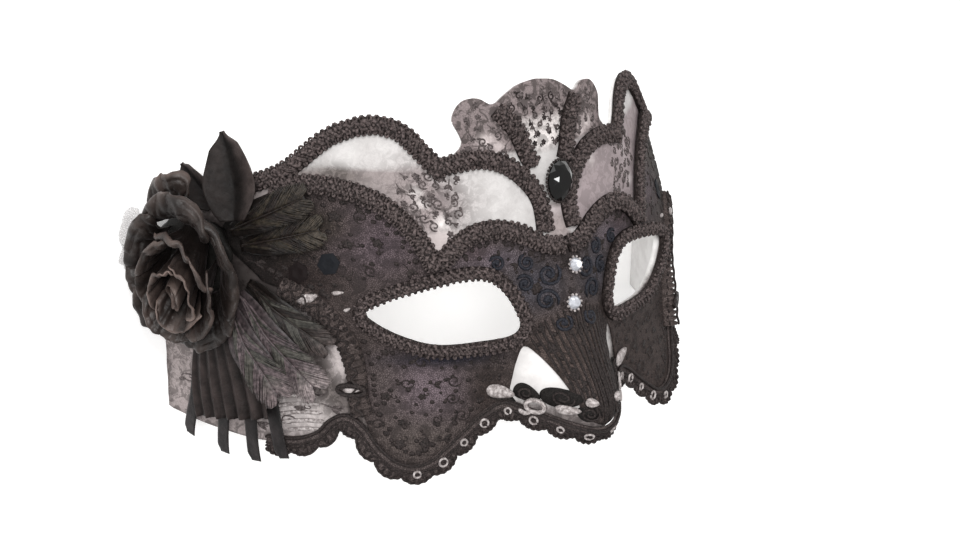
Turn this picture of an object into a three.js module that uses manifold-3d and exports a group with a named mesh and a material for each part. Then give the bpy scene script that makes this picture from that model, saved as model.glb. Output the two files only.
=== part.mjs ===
// A lace-covered half mask with braided trims, stones, a satin rose, leaves, feathers and ribbon tails.
// Units are millimetres. X runs across the face, Y up the face and Z forward out of the face, so that the
// mask lies face up on its two temple edges. Points on the mask are named by x and y on the face and by
// their lift above its inner surface.
import * as THREE from 'three';
import { mergeVertices } from 'three/addons/utils/BufferGeometryUtils.js';
import Module from 'manifold-3d';

const wasm = await Module();
wasm.setup();

// Driving dimensions of the face
const WALL = 1.8;
const GAP = 0.3;
const LACE = 0.7;
const FLOOR = -76;
const HALF_WIDTH = 99;
const PLATE_LOW = -58;
const PLATE_HIGH = 80;
const CELLS_X = 28;
const CELLS_Y = 18;
const SIDE_CURVE = 0.0068;
const TEMPLE_CURVE = 1.07e-7;
const TEMPLE_TURN = 0.05;
const FOREHEAD_LEAN = 0.307;
const NOSE_SLOPE = 0.84;
const NOSE_FALL = 1.7;
const NOSE_WIDTH = 7.4;
const SHELL_TOP = WALL;
const LACE_BOTTOM = WALL + GAP;
const LACE_TOP = LACE_BOTTOM + LACE;

// Driving dimensions of the trims
const BRAID_WIDTH = 5.4;
const BRAID_HEIGHT = 2.2;
const NARROW_BRAID = 4;
const CHEEK_TRIM_WIDTH = 6;
const CHEEK_TRIM_HEIGHT = 3.8;
const BRAID_STEP = 5;
const BRAID_LIFT = LACE_TOP + 0.5;
const RIM_LIFT = SHELL_TOP + 0.5;
const EDGING_BOTTOM = LACE_TOP + GAP;

// Driving dimensions of the rose
const ROSE_SEAT = { x: -83, y: 17 };
const ROSE_STAND = 10;
const ROSE_NARROW = 0.8;
const ROSE_FOOT = 1.2;
const ROSE_AXIS = new THREE.Vector3(-0.86, -0.1, 0.5).normalize();
const PETAL = 0.9;

const part = new THREE.Group();
const finishes = {
  shell: { color: 0xd8d0ce, roughness: 0.45, metalness: 0.15 },
  lace: { color: 0x3a3336, roughness: 0.8, metalness: 0 },
  braid: { color: 0x2a2521, roughness: 0.75, metalness: 0 },
  edging: { color: 0x35302e, roughness: 0.8, metalness: 0 },
  satin: { color: 0x3b3431, roughness: 0.45, metalness: 0 },
  feather: { color: 0x4a4244, roughness: 0.6, metalness: 0 },
  jet: { color: 0x0a090a, roughness: 0.1, metalness: 0 },
  crystal: { color: 0xe9e9f2, roughness: 0.08, metalness: 0 },
};

function add(name, geometry, finish, parent = part) {
  const mesh = new THREE.Mesh(geometry, new THREE.MeshStandardMaterial(finishes[finish]));
  mesh.name = name;
  parent.add(mesh);
  return mesh;
}

// Solids from geometries, and back
function welded(geometry) {
  const bare = geometry.index ? geometry.clone() : geometry;
  bare.deleteAttribute('normal');
  bare.deleteAttribute('uv');
  return mergeVertices(bare, 1e-4);
}

function solid(geometry) {
  const mesh = welded(geometry);
  return new wasm.Manifold(new wasm.Mesh({
    numProp: 3,
    vertProperties: Float32Array.from(mesh.attributes.position.array),
    triVerts: Uint32Array.from(mesh.index.array),
  }));
}

function geometryOf(manifold) {
  const mesh = manifold.getMesh();
  const geometry = new THREE.BufferGeometry();
  geometry.setAttribute('position', new THREE.BufferAttribute(Float32Array.from(mesh.vertProperties), 3));
  geometry.setIndex(new THREE.BufferAttribute(Uint32Array.from(mesh.triVerts), 1));
  return geometry;
}

// The biggest of the pieces a cut leaves
function largest(manifold) {
  return manifold.decompose().sort((a, b) => b.volume() - a.volume())[0];
}

function bent(geometry, place) {
  const mesh = welded(geometry);
  const position = mesh.attributes.position;
  for (let i = 0; i < position.count; i += 1) {
    const p = place(position.getX(i), position.getY(i), position.getZ(i));
    position.setXYZ(i, p.x, p.y, p.z);
  }
  return mesh;
}

// The face: its height, and a point and normal at a lift above it
const ramp = (t, soft = 6) => (t + Math.hypot(t, soft)) / 2;
const smooth = (low, high, t) => THREE.MathUtils.smoothstep(t, low, high);
const bump = (t, centre, spread) => Math.exp(-(((t - centre) / spread) ** 2));

function faceHeight(x, y) {
  const side = Math.abs(x);
  const lean = ramp(y - 5);
  const wrap = -(SIDE_CURVE * x * x * (1 + lean / 160) + TEMPLE_CURVE * x ** 4)
    - TEMPLE_TURN * ramp(side - 78, 4) ** 2;
  const rise = 2.6 * (1 - smooth(12, 30, y)) + NOSE_SLOPE * ramp(1 - y, 5) - NOSE_FALL * ramp(-24 - y, 4);
  const width = NOSE_WIDTH + 0.06 * ramp(1 - y, 5);
  const nose = Math.max(rise, 0) * Math.exp(-x * x / (2 * width * width));
  const socket = -2.2 * bump(side, 34, 17) * bump(y, 5, 11);
  const cheek = 8 * bump(side, 57, 22) * bump(y, -45, 20);
  return wrap - FOREHEAD_LEAN * lean + nose + socket + cheek;
}

function faceNormal(x, y) {
  const step = 0.05;
  const slopeX = (faceHeight(x + step, y) - faceHeight(x - step, y)) / (2 * step);
  const slopeY = (faceHeight(x, y + step) - faceHeight(x, y - step)) / (2 * step);
  return new THREE.Vector3(-slopeX, -slopeY, 1).normalize();
}

function onFace(x, y, lift) {
  return new THREE.Vector3(x, y, faceHeight(x, y)).addScaledVector(faceNormal(x, y), lift);
}

// Plates that follow the face, finer at the nose, cut to an outline seen from the front
function facePlate(bottom, top) {
  const box = new THREE.BoxGeometry(2, PLATE_HIGH - PLATE_LOW, 1, CELLS_X, CELLS_Y, 1);
  const middle = (PLATE_HIGH + PLATE_LOW) / 2;
  const across = (u) => HALF_WIDTH * u * (0.64 + 0.36 * u * u);
  return solid(bent(box, (u, y, z) => onFace(across(u), y + middle, z < 0 ? bottom : top)));
}

function prism(points) {
  const shape = new THREE.Shape(points);
  const geometry = new THREE.ExtrudeGeometry(shape, { depth: 200, bevelEnabled: false });
  geometry.translate(0, 0, -120);
  return solid(geometry);
}

const aboveFloor = (height) => {
  const box = new THREE.BoxGeometry(400, 400, 200);
  box.translate(0, 0, FLOOR + height + 100);
  return solid(box);
};

const points2 = (pairs) => pairs.map(([x, y]) => new THREE.Vector2(x, y));
const flipped = (points) => points.map((p) => new THREE.Vector2(-p.x, p.y));

function smoothLine(pairs, step = 4, closed = false) {
  const places = pairs.map(([x, y]) => new THREE.Vector3(x, y, 0));
  const curve = new THREE.CatmullRomCurve3(places, closed, 'centripetal');
  const count = Math.max(3, Math.round(curve.getLength() / step));
  const spaced = curve.getSpacedPoints(count);
  if (closed) spaced.pop();
  return spaced.map((p) => new THREE.Vector2(p.x, p.y));
}

// A half outline from the centre top round to the centre bottom, closed by its mirror image
function mirroredOutline(half) {
  return [...half, ...flipped(half.slice(1, -1)).reverse()];
}

// A line moved sideways, to the left of its direction
function moved(points, distance, closed = false) {
  const count = points.length;
  const within = (i) => THREE.MathUtils.clamp(i, 0, count - 1);
  const pick = (i) => points[closed ? (i + count) % count : within(i)];
  return points.map((p, i) => {
    const along = pick(i + 1).clone().sub(pick(i - 1)).normalize();
    return new THREE.Vector2(p.x - along.y * distance, p.y + along.x * distance);
  });
}

// Lines on the right half of the face, mirrored for the left
const CREST_LINE = [[0, 67], [6, 66], [11, 63.4], [14.6, 61.2], [18.6, 63.4], [23.2, 62.4], [26.2, 57.6],
  [25, 54], [24.5, 51], [27.2, 48.2]];
const ARCH_LINE = [[30.8, 43.8], [32.8, 46], [35.1, 49.2], [37.4, 52.8], [40.4, 55.3], [45, 56.2],
  [50.7, 54.5], [55.3, 51.7], [59.3, 47.7], [63.2, 43.6], [66.8, 40.6], [70.6, 38.2]];
const TEMPLE_TOP = [[77, 34.5], [84, 29.5]];
const LOWER_LINE = [[88, -38.4], [83, -38.6], [77, -38.4], [71, -37.2], [66.4, -34], [63.6, -30.2],
  [61.2, -28.8], [59, -31], [56.6, -36.4], [53, -40.8], [48, -42.8], [42.5, -41.8], [37, -38], [31, -33],
  [25.5, -28.4], [20.5, -25.7], [15, -27.2], [8, -28.8], [0, -30]];
const EYE_LINE = [[54, 4.6], [49.4, 7.4], [43.9, 9.7], [39.3, 11.2], [34.3, 12.5], [30.2, 13.3], [25.7, 13.4],
  [22.6, 12.3], [20.3, 9.9], [18.6, 7.2], [16.9, 3.6], [15.8, 0.2], [16.4, -1.9], [18.4, -3.2], [21.9, -3.8],
  [27.1, -4.2], [32.8, -4.6], [37, -4.6], [40.6, -4], [44.3, -2.6], [48.2, -0.6], [52, 2.2]];
const BROW_LINE = [[68.5, 36], [64, 38.4], [58.3, 39.1], [53.4, 38.2], [48.6, 36.2], [44.2, 32.6],
  [40.6, 27.5], [38.2, 22], [36.8, 17]];
const LOW_ARCH_LINE = [[36.6, 16.6], [33.1, 21], [30.5, 23.5], [27.1, 25.8], [23.8, 27], [20.2, 27.3],
  [16.2, 26.5], [12.1, 24.7], [8.2, 22.2], [4.6, 20.4], [0.6, 19.9]];
const INNER_ARCH_LINE = [[33.6, 43.6], [28.9, 45.4], [25.7, 46.1], [22.3, 46.5], [18.9, 46.2], [15.1, 45.1],
  [11.7, 42.8], [8.6, 39.6], [6.2, 36.1], [4.9, 32.2], [4.7, 27.7], [5, 24.4]];
const CREST_BRAID_LINE = [[5.4, 43.4], [6.9, 46.4], [8, 50.2], [9.4, 53.9], [11.5, 57], [13.8, 59.8]];
const CHEEK_LINE = [[71.5, 10], [66.9, 7.5], [63.8, 4.5], [61.1, 0], [58.6, -5.8],
  [57.5, -13.5], [57.6, -20], [57.3, -26]];

// The shell
const archEdge = moved(smoothLine([...ARCH_LINE, ...TEMPLE_TOP], 4.4), 1.2);
const outline = mirroredOutline([
  ...smoothLine(CREST_LINE, 5),
  ...archEdge,
  ...points2([[HALF_WIDTH - 1, 22], [HALF_WIDTH - 1, -38]]),
  ...smoothLine(LOWER_LINE, 5.5),
]);
const eyeHole = moved(smoothLine(EYE_LINE, 3.4, true), -1.2, true);
const eyeHoles = prism(eyeHole).add(prism(flipped(eyeHole)));
const shell = facePlate(0, SHELL_TOP).intersect(prism(outline)).subtract(eyeHoles).intersect(aboveFloor(0));
add('mask_shell', geometryOf(shell), 'shell');

// The dark lace over the brows, eyes, cheeks and nose
const LACE_TEMPLE = [[68.5, 36], [75, 31], [80.5, 22], [75, 10.8]];
const LACE_LOWER = [[56, -34], [52, -39.2], [47, -41.2], [42, -39.8], [36, -35], [30, -30], [24.6, -25.6],
  [20, -23], [18.4, -17.5], [16.9, -11.5], [14.6, -7], [11.4, -9.6], [8.2, -14.5], [6.2, -19.5], [4, -25],
  [0, -27.5]];
const laceOutline = mirroredOutline([
  ...points2([[0, 19.4]]),
  ...smoothLine([...LOW_ARCH_LINE].reverse(), 5),
  ...smoothLine([...BROW_LINE].reverse(), 5),
  ...smoothLine(LACE_TEMPLE, 6).slice(1, -1),
  ...smoothLine(CHEEK_LINE, 6),
  ...smoothLine(LACE_LOWER, 4.6),
]);
const lace = facePlate(LACE_BOTTOM, LACE_TOP).intersect(prism(laceOutline)).subtract(eyeHoles)
  .subtract(facePlate(-2, SHELL_TOP + GAP / 2));
add('lace_overlay', geometryOf(largest(lace)), 'lace');

// Braids: a flat-backed, domed section swept along a line on the face
function sweepOnFace(line, width, height, lift, step = BRAID_STEP, closed = false, swell = () => 1) {
  const places = line.map((p) => new THREE.Vector3(p.x, p.y, 0));
  const curve = new THREE.CatmullRomCurve3(places, closed, 'centripetal');
  const length = curve.getLength();
  const steps = Math.max(3, Math.round(length / step));
  const end = closed ? 1 - GAP / length : 1;
  const section = new THREE.Shape(points2([[-width / 2, 0], [width / 2, 0], [width * 0.36, height * 0.8],
    [0, height], [-width * 0.36, height * 0.8]]));
  const geometry = new THREE.ExtrudeGeometry(section, { depth: 1, steps, bevelEnabled: false });
  const at = (t) => {
    const p = curve.getPointAt(THREE.MathUtils.clamp(t, 0, 1));
    return onFace(p.x, p.y, lift);
  };
  return solid(bent(geometry, (across, up, along) => {
    const t = along * end;
    const here = curve.getPointAt(t);
    const normal = faceNormal(here.x, here.y);
    const tangent = at(t + 0.004).sub(at(t - 0.004)).normalize();
    const side = new THREE.Vector3().crossVectors(normal, tangent).normalize();
    return at(t).addScaledVector(side, across).addScaledVector(normal, up * swell(t));
  }));
}

const mirrorLine = (line, side) => line.map((p) => new THREE.Vector2(side * p.x, p.y));
const rimLine = points2([...ARCH_LINE, ...TEMPLE_TOP]);
const cheekSwell = (t) => 0.5 + 0.5 * smooth(0.4, 0.8, t);
const eyeBraidLine = moved(smoothLine(EYE_LINE, 3, true), -NARROW_BRAID / 2 - 0.2, true);

for (const [label, side] of [['left', -1], ['right', 1]]) {
  const sweep = (line, width, lift, grow = 0) => sweepOnFace(mirrorLine(line, side), width + 2 * grow,
    BRAID_HEIGHT + 2 * grow, lift - grow);
  const brow = points2(BROW_LINE);
  const innerArch = points2(INNER_ARCH_LINE);
  const eye = sweepOnFace(mirrorLine(eyeBraidLine, side), NARROW_BRAID, BRAID_HEIGHT, BRAID_LIFT, 5, true);
  const cutEye = sweepOnFace(mirrorLine(eyeBraidLine, side), NARROW_BRAID + 2 * GAP, BRAID_HEIGHT + 2 * GAP,
    BRAID_LIFT - GAP, 5, true);
  const rimStart = rimLine[0].clone().add(new THREE.Vector2(-0.4, -0.4));
  const cutRim = sweep([rimStart, ...rimLine], BRAID_WIDTH, RIM_LIFT, GAP);
  const cutBrow = sweep(brow, BRAID_WIDTH, BRAID_LIFT, GAP);
  const cutInnerArch = sweep(innerArch, BRAID_WIDTH, RIM_LIFT, GAP);
  const lowArch = sweep(points2(LOW_ARCH_LINE), BRAID_WIDTH, BRAID_LIFT);
  const trims = {
    rim_braid: sweep(rimLine, BRAID_WIDTH, RIM_LIFT),
    brow_braid: sweep(brow, BRAID_WIDTH, BRAID_LIFT).subtract(cutRim).subtract(cutEye),
    low_arch_braid: lowArch.subtract(cutBrow).subtract(cutInnerArch).subtract(cutEye),
    inner_arch_braid: sweep(innerArch, BRAID_WIDTH, RIM_LIFT).subtract(cutRim),
    crest_braid: sweep(points2(CREST_BRAID_LINE), BRAID_WIDTH, RIM_LIFT).subtract(cutInnerArch),
    cheek_braid: sweepOnFace(mirrorLine(points2(CHEEK_LINE), side), CHEEK_TRIM_WIDTH, CHEEK_TRIM_HEIGHT,
      BRAID_LIFT, BRAID_STEP, false, cheekSwell).subtract(cutEye),
    eye_braid: eye,
  };
  for (const [name, trim] of Object.entries(trims)) {
    add(`${name}_${label}`, geometryOf(largest(trim)), 'braid');
  }
}

// Scalloped lace edging along the lower edge
const EDGING_INSIDE = 2.6;
const EDGING_OUTSIDE = 1.4;
const SCALLOP_DEPTH = 1.6;
const SCALLOPS = 14;
const EDGING_START = 2;
const edgingOuter = smoothLine(LOWER_LINE.slice(EDGING_START), 90 / (SCALLOPS * 2));
const scalloped = moved(edgingOuter, EDGING_OUTSIDE).map((p, i) => {
  const out = SCALLOP_DEPTH * (i % 2);
  const on = edgingOuter[i];
  return p.clone().add(p.clone().sub(on).normalize().multiplyScalar(out));
});
const edgingInner = moved(smoothLine(LOWER_LINE.slice(EDGING_START), 5), -EDGING_INSIDE);
const edgingOutline = [...scalloped, ...flipped(scalloped.slice(0, -1)).reverse(),
  ...flipped(edgingInner), ...edgingInner.slice(0, -1).reverse()];
const edging = facePlate(EDGING_BOTTOM, EDGING_BOTTOM + LACE).intersect(prism(edgingOutline));
add('lace_edging', geometryOf(largest(edging)), 'edging');

// Stones
function stone(name, x, y, halfWidth, halfHeight, depth, sides, finish, tilt = 0, lift = LACE_TOP + GAP) {
  const profile = points2([[0, 0], [1, 0], [1, 0.35], [0.72, 0.8], [0.4, 1], [0, 1]]);
  const geometry = new THREE.LatheGeometry(profile, sides);
  geometry.rotateX(Math.PI / 2);
  geometry.scale(halfWidth, halfHeight, depth);
  geometry.rotateZ(tilt);
  const mesh = add(name, geometryOf(solid(geometry)), finish);
  mesh.position.copy(onFace(x, y, lift));
  mesh.quaternion.setFromUnitVectors(new THREE.Vector3(0, 0, 1), faceNormal(x, y));
  return mesh;
}
stone('jet_stone', 0.8, 38, 4.4, 6, 3, 12, 'jet', -0.3, RIM_LIFT + BRAID_HEIGHT + GAP);
stone('upper_rhinestone', 1.4, 14.4, 2.1, 2.1, 1.9, 10, 'crystal');
stone('lower_rhinestone', -0.6, 4.2, 2.1, 2.1, 1.9, 10, 'crystal');

// Thin sheets: a middle surface of u across, -1 to 1, and t along, 0 to 1, thickened both ways
function sheet(surface, thickness, across, along) {
  const box = new THREE.BoxGeometry(2, 1, 1, across, along, 1);
  const step = 0.01;
  return bent(box, (u, v, w) => {
    const t = v + 0.5;
    const acrossWay = surface(u + step, t).sub(surface(u - step, t));
    const alongWay = surface(u, Math.min(t + step, 1)).sub(surface(u, Math.max(t - step, 0)));
    const normal = acrossWay.cross(alongWay).normalize();
    return surface(u, t).addScaledVector(normal, w * thickness);
  });
}

// The rose: nested rings of petals round a rolled heart, in a frame whose Z is the rose's axis
const roseUp = new THREE.Vector3(0, 1, 0).addScaledVector(ROSE_AXIS, -ROSE_AXIS.y).normalize();
const roseSide = new THREE.Vector3().crossVectors(roseUp, ROSE_AXIS).normalize();
const roseFrame = new THREE.Matrix4().makeBasis(roseSide, roseUp, ROSE_AXIS);
const rose = new THREE.Group();
rose.position.copy(onFace(ROSE_SEAT.x, ROSE_SEAT.y, ROSE_STAND));
rose.quaternion.setFromRotationMatrix(roseFrame);
part.add(rose);

const skewed = (x, y, z) => new THREE.Vector3(x * ROSE_NARROW + 0.1 * z, y - 0.5 * z, z);

// Neighbouring petals of a ring overlap, each tipped outwards at one side so that they clear each other
const PETAL_TIP = 1.2;
function petal({ bearing, arc, inner, outer, height, curl, foot = ROSE_FOOT }) {
  const across = (along) => inner + (outer - inner) * along ** 1.2;
  const up = (along) => height * Math.sin(along * curl) / Math.sin(Math.min(curl, Math.PI / 2));
  return sheet((u, t) => {
    const along = t * (1 - 0.26 * Math.abs(u) ** 3);
    const angle = bearing + u * arc * (0.62 + 0.38 * Math.min(along * 2, 1));
    const outward = across(along + 0.01) - across(along);
    const upward = up(along + 0.01) - up(along);
    const tip = PETAL_TIP * u / Math.hypot(outward, upward);
    const radius = across(along) + tip * upward;
    const tall = 1.02 + 0.14 * Math.sin(angle) * along;
    return skewed(radius * Math.cos(angle), radius * tall * Math.sin(angle),
      foot + up(along) - tip * outward * Math.min(2 * along, 1));
  }, PETAL, 4, 4);
}

const ROSE_RINGS = [
  { name: 'inner', count: 3, arc: 1.25, inner: 5.8, outer: 9.4, height: 17, curl: 1.3, turn: 0.4 },
  { name: 'middle', count: 4, arc: 0.96, inner: 9.2, outer: 17, height: 14.5, curl: 1.6, turn: 1.1 },
  { name: 'outer', count: 5, arc: 0.78, inner: 12.9, outer: 26, height: 9.5, curl: 1.9, turn: 1.57 },
];
for (const ring of ROSE_RINGS) {
  for (let i = 0; i < ring.count; i += 1) {
    const bearing = ring.turn + 2 * Math.PI * i / ring.count;
    add(`rose_${ring.name}_petal_${i + 1}`, petal({ ...ring, bearing }), 'satin', rose);
  }
}

// A wide, low petal behind the others, at the upper side
add('rose_back_petal', petal({
  bearing: 2.1, arc: 0.6, inner: 13.6, outer: 25, height: 2.4, curl: 1.5, foot: -0.9,
}), 'satin', rose);

// The heart is one strip rolled up
add('rose_heart', sheet((u, t) => {
  const angle = u * 4.4;
  const radius = 2.4 - u * 1.1;
  const rise = 16 * t * (0.88 + 0.12 * Math.cos(u * 6));
  return skewed(radius * Math.cos(angle), radius * Math.sin(angle), ROSE_FOOT + rise);
}, PETAL, 20, 1), 'satin', rose);

// The calyx: a felt pad that seats on the lace and carries the petals
const calyx = new THREE.LatheGeometry(points2([[0, -10], [6, -10], [6.6, -4], [12.6, -0.8],
  [12.6, ROSE_FOOT - GAP], [0, ROSE_FOOT - GAP]]), 14);
calyx.rotateX(Math.PI / 2);
calyx.applyMatrix4(new THREE.Matrix4().compose(rose.position, rose.quaternion, new THREE.Vector3(1, 1, 1)));
const belowLace = facePlate(-14, LACE_TOP + GAP);
add('rose_calyx', geometryOf(largest(solid(calyx).subtract(belowLace))), 'satin');

// Leaves, feathers, fan and ribbon tails: sheets that leave the calyx and follow the face
function frond({ root, tip, half, rootLift, tipLift, shape, bend = 0 }) {
  const base = (t) => [root[0] + (tip[0] - root[0]) * t + bend * Math.sin(Math.PI * t),
    root[1] + (tip[1] - root[1]) * t];
  const centre = (t) => onFace(...base(t), rootLift + (tipLift - rootLift) * smooth(0, 0.4, t));
  return (u, t) => {
    const along = centre(t + 0.02).sub(centre(t - 0.02)).normalize();
    const normal = faceNormal(...base(t));
    const side = along.clone().cross(normal).normalize();
    const { width, rise } = shape(u, t);
    return centre(t).addScaledVector(side, u * half * width).addScaledVector(normal, rise);
  };
}

const featherShape = (u, t) => ({ width: 0.24 + 0.76 * Math.sin(Math.PI * (0.06 + 0.84 * t)), rise: 0.2 * u * u });
const ribbonShape = (u, t) => ({ width: 1, rise: 0.5 * Math.sin(t * 9) * t });
const leafShape = (u, t) => {
  const width = 0.25 + 0.75 * Math.sin(Math.PI * (0.1 + 0.88 * t ** 0.9));
  return { width, rise: 4.2 * Math.abs(u) * width };
};
const fanShape = (u, t) => ({
  width: 0.3 + 0.7 * Math.sin(Math.PI * 0.55 * t),
  rise: 0.7 * t * Math.cos(u * Math.PI * 6) - 1.6 * u * u,
});

const FEATHERS = [
  { root: [-77.5, 10], tip: [-62.5, -3], half: 5, rootLift: 3.9, tipLift: 9.4 },
  { root: [-78.5, 7.5], tip: [-64.5, -16], half: 6.5, rootLift: 7.8, tipLift: 11.6 },
  { root: [-80, 5], tip: [-71, -18.5], half: 6.5, rootLift: 9.8, tipLift: 13.8 },
  { root: [-77, 20], tip: [-60, 27], half: 5.5, rootLift: 3.9, tipLift: 6.6 },
  { root: [-77.6, 24], tip: [-61, 35.5], half: 5.5, rootLift: 5.6, tipLift: 8.6 },
];
FEATHERS.forEach((feather, i) => {
  add(`feather_${i + 1}`, sheet(frond({ ...feather, shape: featherShape }), PETAL, 2, 6), 'feather');
});
add('pleated_fan', sheet(frond({
  root: [-83.4, 5], tip: [-81.5, -31], half: 13, rootLift: 5, tipLift: 7.8, shape: fanShape,
}), PETAL, 18, 2), 'satin');
const TAILS = [[-88.5, -41], [-83.5, -43.5], [-78.5, -43.5], [-73.5, -41]];
TAILS.forEach(([x, y], i) => {
  const root = [x * 0.6 - 32.5, -6];
  add(`ribbon_tail_${i + 1}`, sheet(frond({
    root, tip: [x, y], half: 2.2, rootLift: LACE_TOP + 0.6, tipLift: 5.6, shape: ribbonShape,
  }), 0.6, 1, 5), 'satin');
});
add('large_leaf', sheet(frond({
  root: [-74.9, 27], tip: [-73.2, 51], half: 8, rootLift: 11, tipLift: 9, shape: leafShape, bend: 0.6,
}), PETAL, 4, 6), 'satin');
add('small_leaf', sheet(frond({
  root: [-79, 30], tip: [-82.5, 40.5], half: 4.6, rootLift: 6, tipLift: 6, shape: leafShape,
}), PETAL, 4, 5), 'satin');

// The origin goes to the middle of the bottom of the whole
part.updateMatrixWorld(true);
const bounds = new THREE.Box3().setFromObject(part, true);
part.position.set(-(bounds.min.x + bounds.max.x) / 2, -(bounds.min.y + bounds.max.y) / 2, -bounds.min.z);

export default part;
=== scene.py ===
import math
import random

import bpy
import numpy as np
from mathutils import Matrix, Vector
from mathutils.geometry import delaunay_2d_cdt


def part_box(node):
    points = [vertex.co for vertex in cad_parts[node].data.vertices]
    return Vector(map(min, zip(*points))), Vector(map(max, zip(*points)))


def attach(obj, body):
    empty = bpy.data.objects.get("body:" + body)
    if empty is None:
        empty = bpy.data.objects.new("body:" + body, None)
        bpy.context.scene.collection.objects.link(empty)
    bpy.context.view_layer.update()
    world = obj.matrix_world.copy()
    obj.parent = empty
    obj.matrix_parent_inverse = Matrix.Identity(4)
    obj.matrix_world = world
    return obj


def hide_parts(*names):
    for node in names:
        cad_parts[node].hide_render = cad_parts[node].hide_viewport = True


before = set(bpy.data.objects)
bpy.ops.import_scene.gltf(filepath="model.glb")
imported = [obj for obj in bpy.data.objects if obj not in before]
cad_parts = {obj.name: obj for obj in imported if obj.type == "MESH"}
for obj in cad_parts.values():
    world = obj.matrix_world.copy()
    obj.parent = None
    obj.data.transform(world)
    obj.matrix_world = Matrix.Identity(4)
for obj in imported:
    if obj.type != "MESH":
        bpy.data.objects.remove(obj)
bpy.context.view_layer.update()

# The face surface, in millimetres in the mask's own frame: x across, y up, z forward
SIDE_CURVE = 0.0068
TEMPLE_CURVE = 1.07e-7
TEMPLE_TURN = 0.05
FOREHEAD_LEAN = 0.307
NOSE_SLOPE = 0.84
NOSE_FALL = 1.7
NOSE_WIDTH = 7.4
FLOOR = -76.0
CREST_TOP = 67.0
HALF_WIDTH = 99.0
SHELL_TOP = 1.8
LACE_BOTTOM = 2.1
LACE_FACE = 2.5
LACE_REST = LACE_FACE - 0.05
LACE_TOP = 2.8
EDGING_LIFT = 3.1

# The trims
BRAID_WIDTH = 5.4
NARROW_BRAID = 4.0
BRAID_HEIGHT = 2.2
BRAID_LIFT = 3.3
RIM_LIFT = 2.3
CHEEK_TRIM_WIDTH = 6.0
CHEEK_TRIM_HEIGHT = 3.8

TAU = 2 * math.pi
SIDES = (("left", -1, np.array([-1.0, 1.0])), ("right", 1, np.array([1.0, 1.0])))
UP = np.array([0.0, 1.0, 0.0])
OUTLINE_STEP = 1.5
TRIM_STEP = 0.7

shell_low, shell_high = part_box("mask_shell")
SHIFT = np.array([
    (shell_low.x + shell_high.x) * 500.0,
    shell_high.y * 1000.0 - CREST_TOP,
    shell_low.z * 1000.0 - FLOOR,
])


def ramp(t, soft=6.0):
    return (t + np.hypot(t, soft)) / 2


def smooth(low, high, t):
    u = np.clip((t - low) / (high - low), 0, 1)
    return u * u * (3 - 2 * u)


def bump(t, centre, spread):
    return np.exp(-(((t - centre) / spread) ** 2))


def spot(x, y, cx, cy, rx, ry=None):
    return bump(x, cx, rx) * bump(y, cy, ry or rx)


def unit(v):
    return v / np.maximum(np.linalg.norm(v, axis=-1, keepdims=True), 1e-9)


def face_height(x, y):
    side = np.abs(x)
    lean = ramp(y - 5)
    wrap = -(SIDE_CURVE * x * x * (1 + lean / 160) + TEMPLE_CURVE * x**4)
    wrap = wrap - TEMPLE_TURN * ramp(side - 78, 4) ** 2
    rise = 2.6 * (1 - smooth(12, 30, y)) + NOSE_SLOPE * ramp(1 - y, 5) - NOSE_FALL * ramp(-24 - y, 4)
    width = NOSE_WIDTH + 0.06 * ramp(1 - y, 5)
    nose = np.maximum(rise, 0) * np.exp(-x * x / (2 * width * width))
    socket = -2.2 * spot(side, y, 34, 5, 17, 11)
    cheek = 8 * spot(side, y, 57, -45, 22, 20)
    return wrap - FOREHEAD_LEAN * lean + nose + socket + cheek


def face_normal(x, y):
    step = 0.05
    slope_x = (face_height(x + step, y) - face_height(x - step, y)) / (2 * step)
    slope_y = (face_height(x, y + step) - face_height(x, y - step)) / (2 * step)
    return unit(np.stack([-slope_x, -slope_y, np.ones_like(slope_x)], -1))


def on_face(x, y, lift):
    x, y = np.asarray(x, float), np.asarray(y, float)
    lift = np.broadcast_to(np.asarray(lift, float), x.shape)
    return np.stack([x, y, face_height(x, y)], -1) + face_normal(x, y) * lift[..., None]


def temple_x(y, height):
    """How far out the face meets a height above the floor."""
    low = np.full(y.shape, 60.0)
    high = np.full(y.shape, HALF_WIDTH)
    for _ in range(30):
        middle = (low + high) / 2
        above = face_height(middle, y) > FLOOR + height
        low = np.where(above, middle, low)
        high = np.where(above, high, middle)
    return low


# Lines on the face
def resample(points, step, closed=False):
    points = np.asarray(points, float)
    if closed:
        points = np.vstack([points, points[:1]])
    lengths = np.linalg.norm(np.diff(points, axis=0), axis=1)
    travelled = np.concatenate([[0], np.cumsum(lengths)])
    count = max(2, int(round(travelled[-1] / step)))
    at = np.linspace(0, travelled[-1], count + 1)
    if closed:
        at = at[:-1]
    return np.stack([np.interp(at, travelled, column) for column in points.T], -1)


def between(t, start, a, end, b):
    return (end - t) / (end - start) * a + (t - start) / (end - start) * b


def smooth_line(pairs, step=1.0, closed=False):
    """A centripetal Catmull-Rom curve through the points, evenly spaced."""
    p = np.asarray(pairs, float)
    if closed:
        p = np.vstack([p[-1], p, p[0], p[1]])
    else:
        p = np.vstack([2 * p[0] - p[1], p, 2 * p[-1] - p[-2]])
    out = []
    for a, b, c, d in zip(p[:-3], p[1:-2], p[2:-1], p[3:]):
        gaps = np.sqrt(np.linalg.norm(np.diff([a, b, c, d], axis=0), axis=1)) + 1e-9
        t0, t1, t2, t3 = np.concatenate([[0], np.cumsum(gaps)])
        t = np.linspace(t1, t2, 13)[:-1, None]
        ab = between(t, t0, a, t1, b)
        bc = between(t, t1, b, t2, c)
        cd = between(t, t2, c, t3, d)
        out.append(between(t, t1, between(t, t0, ab, t2, bc), t2, between(t, t1, bc, t3, cd)))
    if not closed:
        out.append(p[-2:-1])
    return resample(np.vstack(out), step, closed)


def heading(points, closed=False):
    """The unit direction of a line at each of its points."""
    if closed:
        return unit(np.roll(points, -1, 0) - np.roll(points, 1, 0))
    return unit(np.gradient(points, axis=0))


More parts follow.
